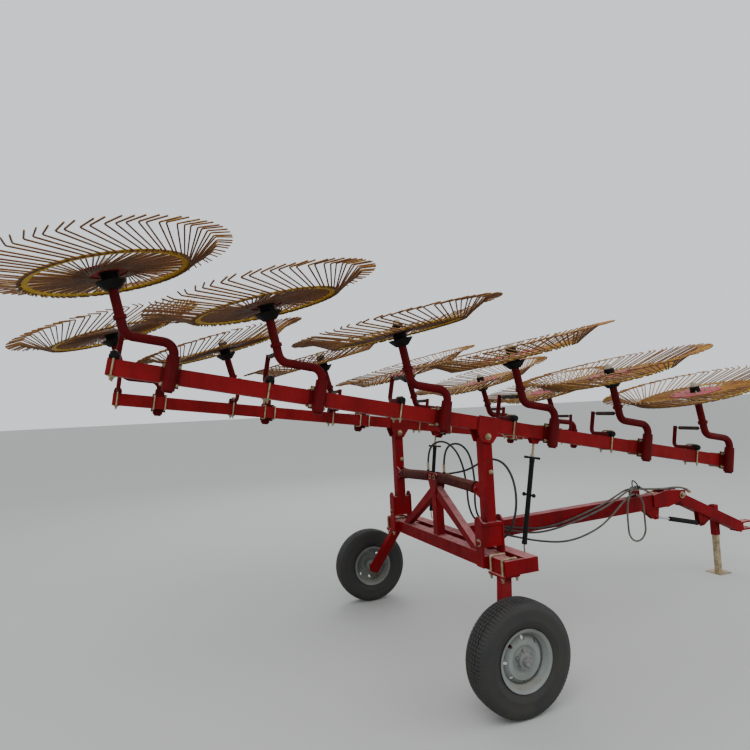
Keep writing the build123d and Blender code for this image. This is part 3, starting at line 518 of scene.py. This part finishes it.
class Build:
    """Collects plain shapes into one mesh; mark is the number of a shape's finish."""

    def __init__(self):
        self.verts, self.faces, self.marks = [], [], []

    def add(self, verts, faces, mark=0):
        """More points and faces, with the faces numbered from 0."""
        base = len(self.verts)
        self.verts += [Vector(v) for v in verts]
        self.faces += [tuple(base + i for i in face) for face in faces]
        self.marks += [mark] * len(faces)

    def tube(self, points, radius, sides, mark=0):
        """A round bar along the points, closed at both ends."""
        points = [Vector(p) for p in points]
        heads = []
        for i, point in enumerate(points):
            before = point - points[i - 1] if i else points[1] - point
            after = points[i + 1] - point if i + 1 < len(points) else before
            heads.append((before.normalized() + after.normalized()).normalized())
        side = heads[0].orthogonal().normalized()
        verts = []
        for i, (point, head) in enumerate(zip(points, heads)):
            side = (side - head * side.dot(head)).normalized()
            other = head.cross(side)
            stretch = 1.0
            if 0 < i < len(points) - 1:
                bend = (point - points[i - 1]).normalized().dot(head)
                stretch = 1 / max(bend, SHARPEST_BEND)
            for k in range(sides):
                angle = 2 * math.pi * k / sides
                out = radius * (side * math.cos(angle) + other * math.sin(angle))
                verts.append(point + out * (stretch ** 0.5))
        faces = band(len(points) - 1, sides) + [tuple(range(sides))[::-1]]
        faces.append(tuple((len(points) - 1) * sides + k for k in range(sides)))
        self.add(verts, faces, mark)

    def revolve(self, profile, place, sides, mark=0):
        """profile: (radius, height) pairs from one end to the other, turned round place's z."""
        verts = []
        for radius, height in profile:
            for k in range(sides):
                angle = 2 * math.pi * k / sides
                verts.append(place @ Vector((radius * math.cos(angle), radius * math.sin(angle), height)))
        faces = band(len(profile) - 1, sides)
        if profile[0][0] > POINTED:
            faces.append(tuple(range(sides))[::-1])
        if profile[-1][0] > POINTED:
            faces.append(tuple((len(profile) - 1) * sides + k for k in range(sides)))
        self.add(verts, faces, mark)

    def nut(self, at, axis, across=0.018, height=0.011, stud=0.006, mark=0):
        """A hexagon nut on its washer, with its stud's end."""
        place = seat(at, axis)
        half = across / 2
        self.revolve([(half * 0.9, 0), (half * 1.12, 0.0015), (half * 1.12, height - 0.0015),
                      (half * 0.9, height)], place, 6, mark)
        self.revolve([(half * 1.35, -0.0005), (half * 1.35, 0.0018)], place, 16, mark)
        self.revolve([(stud, height - 0.001), (stud, height + 0.009), (stud * 0.8, height + 0.0105)],
                     place, 10, mark)

    def washer(self, place, radius, thick, sides, inner=None):
        """A flat washer; inner is the radius of the disc inside its top face, the pin's end."""
        profile = [(radius, 0), (radius, thick)]
        if inner:
            profile.append((inner, thick))
        self.revolve(profile, place, sides)

    def block(self, low, high, c=0.003):
        """A box with each edge chamfered by c."""
        (x0, y0, z0), (x1, y1, z1) = low, high
        ring = [(x0 + c, y0), (x1 - c, y0), (x1, y0 + c), (x1, y1 - c), (x1 - c, y1), (x0 + c, y1),
                (x0, y1 - c), (x0, y0 + c)]
        mid = ((x0 + x1) / 2, (y0 + y1) / 2)
        verts = []
        for z, inset in ((z0, c), (z0 + c, 0), (z1 - c, 0), (z1, c)):
            for x, y in ring:
                px = x - math.copysign(min(inset, abs(x - mid[0])), x - mid[0])
                py = y - math.copysign(min(inset, abs(y - mid[1])), y - mid[1])
                verts.append(Vector((px, py, z)))
        self.add(verts, [tuple(range(8))[::-1], tuple(range(24, 32))] + band(3, 8))

    def piece(self, name, finishes, place=FLAT):
        """The collected shapes as one object, moved or mirrored by place."""
        verts = [place @ v for v in self.verts]
        faces = [face[::-1] for face in self.faces] if place.determinant() < 0 else self.faces
        made = add_mesh(name, verts, faces, finishes, self.marks)
        edge_split(made)
        return made


def band(rows, sides):
    """The faces between rows of points that each go once round."""
    faces = []
    for i in range(rows):
        for k in range(sides):
            a, b = i * sides + k, i * sides + (k + 1) % sides
            faces.append((a, b, b + sides, a + sides))
    return faces


def edge_split(piece, angle=38):
    """Edges sharper than the angle stay crisp on a smooth piece."""
    split = piece.modifiers.new("edges", "EDGE_SPLIT")
    split.split_angle = math.radians(angle)


def seat(at, axis):
    """A matrix whose origin is at and whose z is axis."""
    z = Vector(axis).normalized()
    x = z.orthogonal().normalized()
    y = z.cross(x)
    return Matrix.Translation(Vector(at)) @ Matrix((x, y, z)).transposed().to_4x4()


def spots(count, radius, first=0.0):
    """Places evenly round a circle, from the angle of the first."""
    angles = [2 * math.pi * k / count + first for k in range(count)]
    return [(radius * math.cos(angle), radius * math.sin(angle)) for angle in angles]


def rounded(points, radius, steps=5):
    """The points of a polyline with each inner corner as an arc."""
    points = [Vector(p) for p in points]
    out = [points[0]]
    for before, at, after in zip(points, points[1:], points[2:]):
        a, b = (before - at).normalized(), (after - at).normalized()
        turn = math.pi - a.angle(b)
        if turn < STRAIGHT:
            out.append(at)
            continue
        reach = radius * math.tan(turn / 2)
        centre = at + (a + b).normalized() * (radius / math.cos(turn / 2))
        start, end = at + a * reach - centre, at + b * reach - centre
        for k in range(steps + 1):
            out.append(centre + start.slerp(end, k / steps).normalized() * radius)
    out.append(points[-1])
    return out


def joint(frame, name):
    """The joint's row in the frame."""
    return next(j for j in frame["joints"] if j["name"] == name)


def boom_matrix(frame, name):
    """The boom's own frame: x along it to the front, y to the left, z square to it, at the swing pin."""
    swing = joint(frame, f"boom_swing_{name}")
    rear = Vector(joint(frame, f"rake_spin_{name}1")["pos_m"])
    front = Vector(joint(frame, f"rake_spin_{name}{UNITS}")["pos_m"])
    along = (front - rear).normalized()
    across = -Vector(swing["axis"])
    place = Matrix((along, across, along.cross(across))).transposed().to_4x4()
    return Matrix.Translation(Vector(swing["pos_m"])) @ place


# Ground wheels
def ground_wheel(frame, paints, name, side):
    """Tyre with its tread, wheel nuts and dust cap."""
    centre = Vector(joint(frame, f"ground_wheel_spin_{name}")["pos_m"])
    place = Matrix.Translation(centre) @ Matrix.Rotation(math.radians(-90 * side), 4, "X")
    tyre = tyre_mesh(name, paints, place)
    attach(tyre, f"ground_wheel_{name}")
    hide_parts(f"tyre_{name}")
    trim = Build()
    for x, y in spots(5, 0.052, 0.3):
        trim.nut((x, y, 0.0455), UP, 0.02, 0.013)
    trim.revolve([(0.03, 0.07), (0.03, 0.1), (0.026, 0.108), (0.0, 0.11)], FLAT, 24)
    piece = trim.piece(f"wheel_nuts_{name}", [paints["steel"]], place)
    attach(piece, f"ground_wheel_{name}")


def tyre_mesh(name, paints, place):
    """Road tread: five ribs between zigzag grooves, cut across by sipes; z is the axle, outboard up."""
    half, top = TYRE_HALF, WHEEL_R
    periods = 44
    # The share of a period, and 1 where a sipe is cut
    stops = ((0, 0), (0.22, 0), (0.24, 1), (0.28, 1), (0.3, 0),
             (0.5, 0), (0.72, 0), (0.74, 1), (0.78, 1), (0.8, 0))
    tread = half * 0.7
    grooves = (-0.6, -0.2, 0.2, 0.6)
    width, depth, zig, sipe, crowning = 0.0035, 0.009, 0.004, 0.0055, 0.0045
    wall = [(BEAD_R + 0.0005, half * 0.78), (BEAD_R + 0.02, half * 0.86), (BEAD_R + 0.03, half * 0.9),
            (BEAD_R + 0.034, half * 0.93), (BEAD_R + 0.06, half * 0.975), (BEAD_R + 0.064, half * 0.992),
            (BEAD_R + 0.068, half * 0.982), (top * 0.76, half * 0.995), (top - 0.06, half * 0.985),
            (top - 0.045, half * 0.99), (top - 0.04, half * 0.965), (top - 0.026, half * 0.9),
            (top - 0.011, half * 0.84), (top - 0.005, half * 0.72)]
    section = [(r, -y, 0) for r, y in wall]
    for g in grooves:
        at = g * tread
        section += [(0, at - width, 1), (-depth, at - width * 0.5, 1), (-depth, at + width * 0.5, 1),
                    (0, at + width, 1)]
    section += [(r, y, 0) for r, y in reversed(wall)]
    verts, faces = [], []
    for period in range(periods):
        for share, cut in stops:
            angle = 2 * math.pi * (period + share) / periods
            wave = abs(4 * share - 2) - 1
            for r, y, kind in section:
                if kind:
                    crown = top - crowning * (y / tread) ** 2
                    low = cut * sipe if r == 0 else 0
                    r, y = crown + r - low, y + wave * zig
                elif r > top - 0.02:
                    r -= cut * sipe
                verts.append(Vector((r * math.cos(angle), r * math.sin(angle), y)))
    n, count = len(section), periods * len(stops)
    for i in range(count):
        j = (i + 1) % count
        for k in range(n):
            after = (k + 1) % n
            faces.append((i * n + k, j * n + k, j * n + after, i * n + after))
    piece = add_mesh(f"tyre_tread_{name}", [place @ v for v in verts], faces, [paints["tyre_rubber"]])
    edge_split(piece, 50)
    return piece


# Booms
def boom_details(frame, paints, name, side):
    """Bolts, arm covers, springs and welds of the six wheels of one boom."""
    bolts, covers, springs, welds = Build(), Build(), Build(), Build()
    for i in range(UNITS):
        start = UNIT_FIRST + UNIT_PITCH * i
        bracket_bolts(bolts, start, side)
        arm_clamp(bolts, covers, start - ARM_BACK, side)
        spring_coil(springs, start, side)
        sleeve_welds(welds, start, side)
    for build, label, finish in ((bolts, "boom_bolts", "zinc"), (covers, "arm_boots", "black_paint"),
                                 (springs, "spring_coils", "spring_steel"),
                                 (welds, "sleeve_welds", "crank_red")):
        piece = build.piece(f"{label}_{name}", [paints[finish]], boom_matrix(frame, name))
        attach(piece, f"boom_{name}")
        if label == "spring_coils":
            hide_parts(f"springs_{name}")


def bracket_bolts(bolts, start, side):
    """Two U-bolts round the boom, with their nuts on the crank's bracket."""
    face, back = side * BRACKET_FACE, -side * U_BOLT_SIDE
    high, low = BOOM_TOP + U_BOLT_OVER, BOOM_LOW - U_BOLT_OVER
    for x in (start - BRACKET_BOLTS, start + BRACKET_BOLTS):
        end = face + side * THREAD_OUT
        hoop = [(x, end, high), (x, back, high), (x, back, low), (x, end, low)]
        bolts.tube(rounded(hoop, 0.012), U_BOLT_R, 10)
        for z in (high, low):
            bolts.nut((x, face, z), (0, side, 0))


def arm_clamp(bolts, covers, x, side):
    """The U-bolt that holds a spring arm, its plate under the boom and the arm's black cover and cap."""
    near, far = side * U_BOLT_SIDE, -side * U_BOLT_SIDE
    high, low = ARM_SEAT + ARM_R + 0.0085, BOOM_LOW - THREAD_DOWN
    hoop = [(x, near, low), (x, near, high), (x, far, high), (x, far, low)]
    bolts.tube(rounded(hoop, 0.016), U_BOLT_R, 10)
    half_x, half_y, thick = ARM_PLATE
    bolts.block((x - half_x, -half_y, BOOM_LOW - thick), (x + half_x, half_y, BOOM_LOW))
    for y in (near, far):
        bolts.nut((x, y, BOOM_LOW - thick), DOWN)
    y0, y1 = sorted(side * BOOM_HALF_W * share for share in (COVER_FROM, COVER_TO))
    covers.block((x - COVER_HALF, y0, BOOM_TOP + 0.0005), (x + COVER_HALF, y1, ARM_SEAT + 0.018))
    covers.revolve([(0.02, -0.002), (0.022, 0.004), (0.022, 0.022), (0.018, 0.028), (0, 0.029)],
                   seat((x, side * 0.043, ARM_SEAT), (0, side, 0)), 20)


def sleeve_welds(welds, start, side):
    """A rippled bead on each side of the crank's sleeve."""
    for x in (start - SLEEVE_WELD, start + SLEEVE_WELD):
        points = [(x + 0.001 * (-1) ** k, side * (BRACKET_FACE + 0.003), BOOM_RISE - 0.07 + 0.01 * k)
                  for k in range(15)]
        welds.tube(points, 0.0042, 6)


def spring_coil(springs, start, side):
    """Tension spring from the arm's top to the crank; the coils narrow to a straight wire at each end."""
    level = ARM_SEAT + ARM_UP - 0.016
    reach = (level - BOOM_RISE - CRANK_UP) / math.cos(LOUVRE)
    inner = Vector((start - ARM_BACK, -side * (ARM_IN - ARM_R - 0.002), level))
    behind = CRANK_BACK + reach * math.sin(LOUVRE)
    outer = Vector((start - behind, side * (UNIT_OUT - CRANK_R - 0.004), level))
    length = (outer - inner).length
    points = [(0, 0, 0.001), (0, 0, SPRING_LOOP * 0.6)]
    count = SPRING_TURNS * SPRING_STEPS
    for k in range(count + 1):
        t = k / count
        radius = SPRING_R * min(1.0, 14 * t, 14 * (1 - t))
        angle = 2 * math.pi * SPRING_TURNS * t
        height = SPRING_LOOP + (length - 2 * SPRING_LOOP) * t
        points.append((radius * math.cos(angle), radius * math.sin(angle), height))
    points += [(0, 0, length - SPRING_LOOP * 0.6), (0, 0, length - 0.001)]
    place = seat(inner, outer - inner)
    springs.tube([place @ Vector(p) for p in points], SPRING_WIRE, 5)


# Rake wheels
def tine_path():
    """One tine in the wheel's frame: from the plate through the ring, under its edge, then up to the tip."""
    seen = Vector((TINE_ROOT_R * math.cos(TINE_LEAD), TINE_ROOT_R * math.sin(TINE_LEAD), TINE_LEVEL))
    hook = Vector((TINE_HOOK_R, 0, TINE_LEVEL))
    root = seen + (seen - hook).normalized() * TINE_INNER
    way = Vector((math.cos(TINE_SWEEP), math.sin(TINE_SWEEP), 0))
    elbow = hook + way * TINE_RUN + Vector((0, 0, TINE_RISE))
    tip = elbow + Vector((TIP_L * math.cos(TIP_SWEEP), TIP_L * math.sin(TIP_SWEEP), 0))
    hole = hook + (root - hook).normalized() * (TINE_HOOK_R - TINE_HOLE_R)
    under = Vector((hook.x, hook.y, -WIRE_R - 0.0002))
    return rounded([root, hole, under, under + way * TINE_UNDER, elbow, tip], 0.011, 3)


def rake_wheels(frame, paints, name, side):
    """The tined rings and centre plates of one boom; z of a wheel is its axle."""
    ring, hub = ring_build(), hub_build()
    flip = Matrix.Diagonal((1, -side, 1, 1))
    for i in range(UNITS):
        spin = joint(frame, f"rake_spin_{name}{i + 1}")
        axis = Vector(spin["axis"])
        forward = boom_matrix(frame, name).to_3x3() @ Vector((1, 0, 0))
        forward = (forward - axis * forward.dot(axis)).normalized()
        turn = Matrix((forward, axis.cross(forward), axis)).transposed().to_4x4()
        phase = Matrix.Rotation(WHEEL_TURN * i + (LEFT_TURN if side > 0 else 0), 4, "Z")
        place = Matrix.Translation(Vector(spin["pos_m"])) @ turn @ flip @ phase
        body = f"rake_{name}{i + 1}"
        wheel = ring.piece(f"tined_ring_{name}{i + 1}", [paints["tine_gold"], paints["rim_yellow"]], place)
        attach(wheel, body)
        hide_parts(f"rake_wheel_{name}{i + 1}")
        finishes = [paints[slot] for slot in ("plate_red", "black_paint", "cap_grey", "zinc")]
        cap = hub.piece(f"centre_plate_{name}{i + 1}", finishes, place)
        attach(cap, body)
        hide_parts(f"wheel_hub_{name}{i + 1}")


def ring_build():
    """The flat ring, finish 1, with its tines, finish 0; each tine is bent a little, the same every run."""
    ring = Build()
    profile = [(RIM_IN, RIM_T - 0.001), (RIM_IN, 0.001), (RIM_IN + 0.001, 0), (RIM_OUT - 0.001, 0),
               (RIM_OUT, 0.001), (RIM_OUT, RIM_T - 0.001), (RIM_OUT - 0.001, RIM_T), (RIM_IN + 0.001, RIM_T),
               (RIM_IN, RIM_T - 0.001)]
    ring.revolve(profile, FLAT, 96, 1)
    ring.faces = [face for face in ring.faces if len(face) == 4]
    ring.marks = ring.marks[:len(ring.faces)]
    path = tine_path()
    for k in range(TINES):
        turn = Matrix.Rotation(2 * math.pi * k / TINES, 4, "Z")
        sway = Matrix.Rotation(0.012 * math.sin(k * 2.7) + 0.006 * math.sin(k * 7.1), 4, "Z")
        lift = 0.985 * (1 + 0.02 * math.sin(k * 4.3))
        points = [Vector((p.x, p.y, TINE_LEVEL + (p.z - TINE_LEVEL) * lift)) for p in path]
        ring.tube([turn @ sway @ p for p in points], WIRE_R, 6)
    return ring


def hub_build():
    """Centre plate with its bolts, hub, black cap and pale grease cap."""
    hub = Build()
    low, top = PLATE_LOW, PLATE_LOW + PLATE_T
    hub.revolve([(0.05, low), (PLATE_R - 0.001, low), (PLATE_R, low + 0.001), (PLATE_R, top - 0.001),
                 (PLATE_R - 0.001, top), (0.05, top)], FLAT, 64)
    hub.revolve([(0.05, 0.0005), (0.055, 0.0005), (0.056, 0.0015), (0.056, low)], FLAT, 32, 1)
    black_cap = [(0.043, -0.002), (0.043, 0.004), (0.042, 0.005), (0.038, 0.005), (0.038, 0.043),
                 (0.034, 0.048), (0.025, 0.048)]
    grease_cap = [(0.0295, 0.047), (0.0305, 0.048), (0.0305, 0.053), (0.0295, 0.054), (0.025, 0.054),
                  (0.025, 0.069), (0.023, 0.072), (0.0165, 0.073), (0.0165, 0.078), (0.013, 0.0808),
                  (0, 0.0808)]
    for profile, sides, mark in ((black_cap, 32, 1), (grease_cap, 24, 2)):
        hub.revolve([(radius, top + height) for radius, height in profile], FLAT, sides, mark)
    for x, y in spots(8, 0.165):
        hub.nut((x, y, top), UP, 0.015, 0.008, 0.0045, 3)
    for x, y in spots(4, 0.075, math.pi / 4):
        hub.nut((x, y, top), UP, 0.017, 0.009, 0.005, 3)
    return hub


# Cart, masts and tongue
def on_cart(build, label, finishes, body="cart"):
    """A piece of the cart or of a mast, drawn with x from the axle."""
    piece = build.piece(label, finishes, Matrix.Translation((AXLE_X, 0, 0)))
    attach(piece, body)


def bead(build, start, end, radius=0.004):
    """A weld bead with its ripples."""
    start, end = Vector(start), Vector(end)
    count = max(4, int((end - start).length / BEAD_STEP))
    side = (end - start).orthogonal().normalized()
    points = [start.lerp(end, k / count) + side * BEAD_RIPPLE * math.sin(k * 2.4) for k in range(count + 1)]
    build.tube(points, radius, 6)


def cart_details(frame, paints):
    """Bolts, welds and hose hooks of the cart and tongue, and the details of masts and struts."""
    zinc, welds, black, stub = Build(), Build(), Build(), Build()
    for side in (-1, 1):
        for x, y in LEG_BOLTS:
            at = (LEG_X + x, side * LEG_Y + y, LEG_PLATE_LOW)
            zinc.nut(at, DOWN, 0.024, 0.013, 0.008)
            zinc.tube([at, (*at[:2], LEG_BOLT_END)], 0.0079, 10)
        for x, way in HINGE_PIN_FACES:
            zinc.washer(seat((x, side * HINGE_Y, HINGE_Z), (way, 0, 0)), 0.027, 0.003, 24, 0.0165)
        frame_welds(welds, side)
    for way in (-1, 1):
        edge = way * (POST_HALF + 0.0005)
        bead(welds, (POST_X - POST_HALF, edge, CROSS_TOP), (POST_X + POST_HALF, edge, CROSS_TOP))
        bead(welds, (POST_X + edge, -POST_HALF, CROSS_TOP), (POST_X + edge, POST_HALF, CROSS_TOP))
    for y in (-0.035, 0.035):
        for x, way in ((0.216, 1), (0.096, -1)):
            zinc.washer(seat((x - way * 0.0175, y, 1.333), (way, 0, 0)), 0.019, 0.003, 20)
    for y in (-TONGUE_HALF - 0.0005, TONGUE_HALF + 0.0005):
        bead(welds, (TONGUE_END, y, 0.765), (TONGUE_END, y, 0.888))
    bead(welds, (TONGUE_END, -TONGUE_HALF, 0.897), (TONGUE_END, TONGUE_HALF, 0.897))
    knee = Vector(joint(frame, "knee")["pos_m"]) - Vector((AXLE_X, 0, 0))
    for way in (-1, 1):
        zinc.washer(seat(knee + Vector((0, way * 0.0665, 0)), (0, way, 0)), 0.034, 0.004, 24)
        zinc.nut(knee + Vector((0, way * 0.0805, 0)), (0, way, 0), 0.03, 0.012, 0.009)
    for points, bend, radius in HOOKS:
        black.tube(rounded(points, bend), radius, 10)
    stub.block((2.40, 0.008, 0.9375), (2.44, 0.045, 0.992), 0.004)
    stub.block((2.345, 0.01, 0.9365), (2.375, 0.034, 0.946))
    for build, label, finish in ((zinc, "cart_bolts", "zinc"), (black, "hose_hooks", "black_paint"),
                                 (welds, "cart_welds", "frame_red"), (stub, "tongue_stub", "frame_red")):
        on_cart(build, label, [paints[finish]])
    for name, side in SIDES:
        mast_details(frame, paints, name, side)
        strut_details(frame, paints, name)


def frame_welds(welds, side):
    """The beads on one side: hinge blocks on the rear beam, end plate and foot of the brace."""
    for face, way in REAR_BEAM_FACES:
        x, y = face + way * 0.0015, side * HINGE_Y
        for dy in (-0.0455, 0.0455):
            bead(welds, (x, y + dy, 0.771), (x, y + dy, 0.85))
        for z in (0.769, 0.853):
            bead(welds, (x, y - 0.043, z), (x, y + 0.043, z), 0.003)
    bead(welds, (0.185, side * 0.9745, CROSS_TOP), (0.285, side * 0.9745, CROSS_TOP), 0.0035)
    for x in (0.128, 0.184):
        bead(welds, (x, side * 0.552, CROSS_TOP), (x, side * 0.628, CROSS_TOP))
    for y in (0.545, 0.635):
        bead(welds, (0.128, side * y, 0.854), (0.184, side * y, 0.854))


def mast_details(frame, paints, name, side):
    """Nuts, cotter pins, slot shades and foot weld of a mast, and the washers and nuts of the pin at its
    top; each slot is a near-black plate, painted shade for the hole.
    """
    bolts, slot_shades, welds, pins = Build(), Build(), Build(), Build()
    hinge = Vector(joint(frame, f"mast_tilt_{name}")["pos_m"]) - Vector((AXLE_X, 0, 0))
    for way in (-1, 1):
        face = hinge.y + way * 0.04
        bolts.nut((hinge.x + MAST_NUT_X, face, MAST_NUT_Z), (0, way, 0), 0.024, 0.014, 0.008)
        # Painted shade: each slot is a flat near-black oval 0.4 mm proud of the mast's face, standing in for
        # the shade inside the hole.
        outline = []
        for x, z in spots(20, MAST_SLOT_R):
            height = MAST_SLOT_Z + z + (MAST_SLOT_HALF if z >= 0 else -MAST_SLOT_HALF)
            outline.append((hinge.x + x, face + way * 0.0004, height))
        around = tuple(range(20))
        slot_shades.add(outline, [around if way < 0 else around[::-1]])
    for x in COTTERS:
        bolts.tube([(x, hinge.y, hinge.z - 0.024), (x, hinge.y, hinge.z + 0.026)], 0.0028, 8)
    foot = hinge.y + side * 0.041
    bead(welds, (0.117, foot, 1.0815), (0.195, foot, 1.0815), 0.0035)
    on_cart(bolts, f"mast_bolts_{name}", [paints["zinc"]], f"mast_{name}")
    # The slot plates carry painted shade; the mast itself is not cut.
    on_cart(slot_shades, f"mast_slot_shade_{name}", [paints["painted_shade"]], f"mast_{name}")
    on_cart(welds, f"mast_welds_{name}", [paints["frame_red"]], f"mast_{name}")
    swing = joint(frame, f"boom_swing_{name}")
    centre, axis = Vector(swing["pos_m"]), Vector(swing["axis"])
    for way in (-1, 1):
        pins.washer(seat(centre + axis * way * 0.0622, axis * way), 0.025, 0.003, 24, 0.0165)
        pins.nut(centre + axis * way * 0.0655, axis * way, 0.036, 0.012, 0.012)
    piece = pins.piece(f"swing_nuts_{name}", [paints["zinc"]])
    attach(piece, f"boom_{name}")


def strut_details(frame, paints, name):
    """Threaded rod with its nut and bent tail, the collars of the tube and the ends of the cross handle."""
    rod, collars = Build(), Build()
    centre = Matrix.Translation((STRUT_X, 0, 0))
    z = STRUT_LOW + 0.012
    profile = [(0.0, z)]
    while z < STRUT_TOP - 0.012:
        profile += [(0.0083, z), (0.0088, z + 0.0015), (0.0083, z + 0.003)]
        z += 0.0035
    rod.revolve(profile + [(0.0, STRUT_TOP - 0.01)], centre, 10)
    rod.nut((STRUT_X, 0, STRUT_LOW + 0.018), UP, 0.03, 0.014, 0.0082)
    tail = [(0.433, 0, -0.733), (0.434, 0, -0.76), (0.44, -0.003, -0.79), (0.449, -0.005, -0.812)]
    rod.tube(rounded(tail, 0.05), 0.0055, 8)
    for x in (STRUT_X - 0.055, STRUT_X + 0.055):
        collars.tube([(x - 0.012, 0, STRUT_LOW + 0.006), (x + 0.012, 0, STRUT_LOW + 0.006)], 0.0095, 10)
    foot_collar = [(0.0186, -0.737), (0.0198, -0.733), (0.0198, -0.717), (0.0186, -0.713)]
    top_collar = [(0.0186, STRUT_LOW - 0.03), (0.0198, STRUT_LOW - 0.028), (0.0198, STRUT_LOW - 0.002),
                  (0.0186, STRUT_LOW + 0.0005)]
    for profile in (foot_collar, top_collar):
        collars.revolve(profile, centre, 20)
    for build, label, finish in ((rod, "strut_rod", "zinc"), (collars, "strut_collars", "black_paint")):
        piece = build.piece(f"{label}_{name}", [paints[finish]], boom_matrix(frame, name))
        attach(piece, f"boom_{name}")


# Hoses
def hoses(paints):
    """Each hose lies on the same points as its tube in the part's source."""
    for name, route in HOSE_ROUTES.items():
        data = bpy.data.curves.new(f"{name}_line", "CURVE")
        data.dimensions = "3D"
        data.bevel_depth = HOSE_D / 2 * HOSE_DRAWN
        data.bevel_resolution = 4
        data.resolution_u = 10
        data.use_fill_caps = True
        spline = data.splines.new("NURBS")
        spline.points.add(len(route) - 1)
        for point, at in zip(spline.points, route):
            point.co = (*at, 1)
        spline.order_u = 3
        spline.use_endpoint_u = True
        data.materials.append(paints["hose_rubber"])
        piece = bpy.data.objects.new(f"{name}_line", data)
        bpy.context.collection.objects.link(piece)
        for label, at, towards in (("port", route[0], route[1]), ("coupler", route[-1], route[-2])):
            place = seat(at, Vector(towards) - Vector(at))
            fitting = hose_end(label == "coupler").piece(f"{name}_{label}", [paints["zinc"]], place)
            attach(fitting, "cart")
        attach(piece, "cart")
        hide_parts(name)


def hose_end(coupler):
    """A crimped sleeve and its nut, or a quick coupler; z runs back along the hose from its end."""
    fitting = Build()
    fitting.revolve([(0.0098, 0.012), (0.0122, 0.0135), (0.0122, 0.026), (0.0098, 0.0275)], FLAT, 6)
    sleeve = [(0.0098, 0.027)]
    for k in range(5):
        z = 0.028 + 0.006 * k
        sleeve += [(0.0112, z), (0.0112, z + 0.0038), (0.0106, z + 0.0045), (0.0106, z + 0.0055)]
    fitting.revolve(sleeve + [(0.0098, 0.0585)], FLAT, 20)
    if coupler:
        fitting.revolve([(0.0, 0.001), (0.0105, 0.001), (0.0105, 0.012), (0.0098, 0.0135)], FLAT, 20)
        fitting.revolve([(0.0115, 0.0), (0.0123, 0.001), (0.0123, 0.006), (0.0108, 0.0075)], FLAT, 20)
    else:
        fitting.revolve([(0.0, 0.0), (0.0115, 0.0), (0.0115, 0.01), (0.0098, 0.0125)], FLAT, 20)
    return fitting


main()
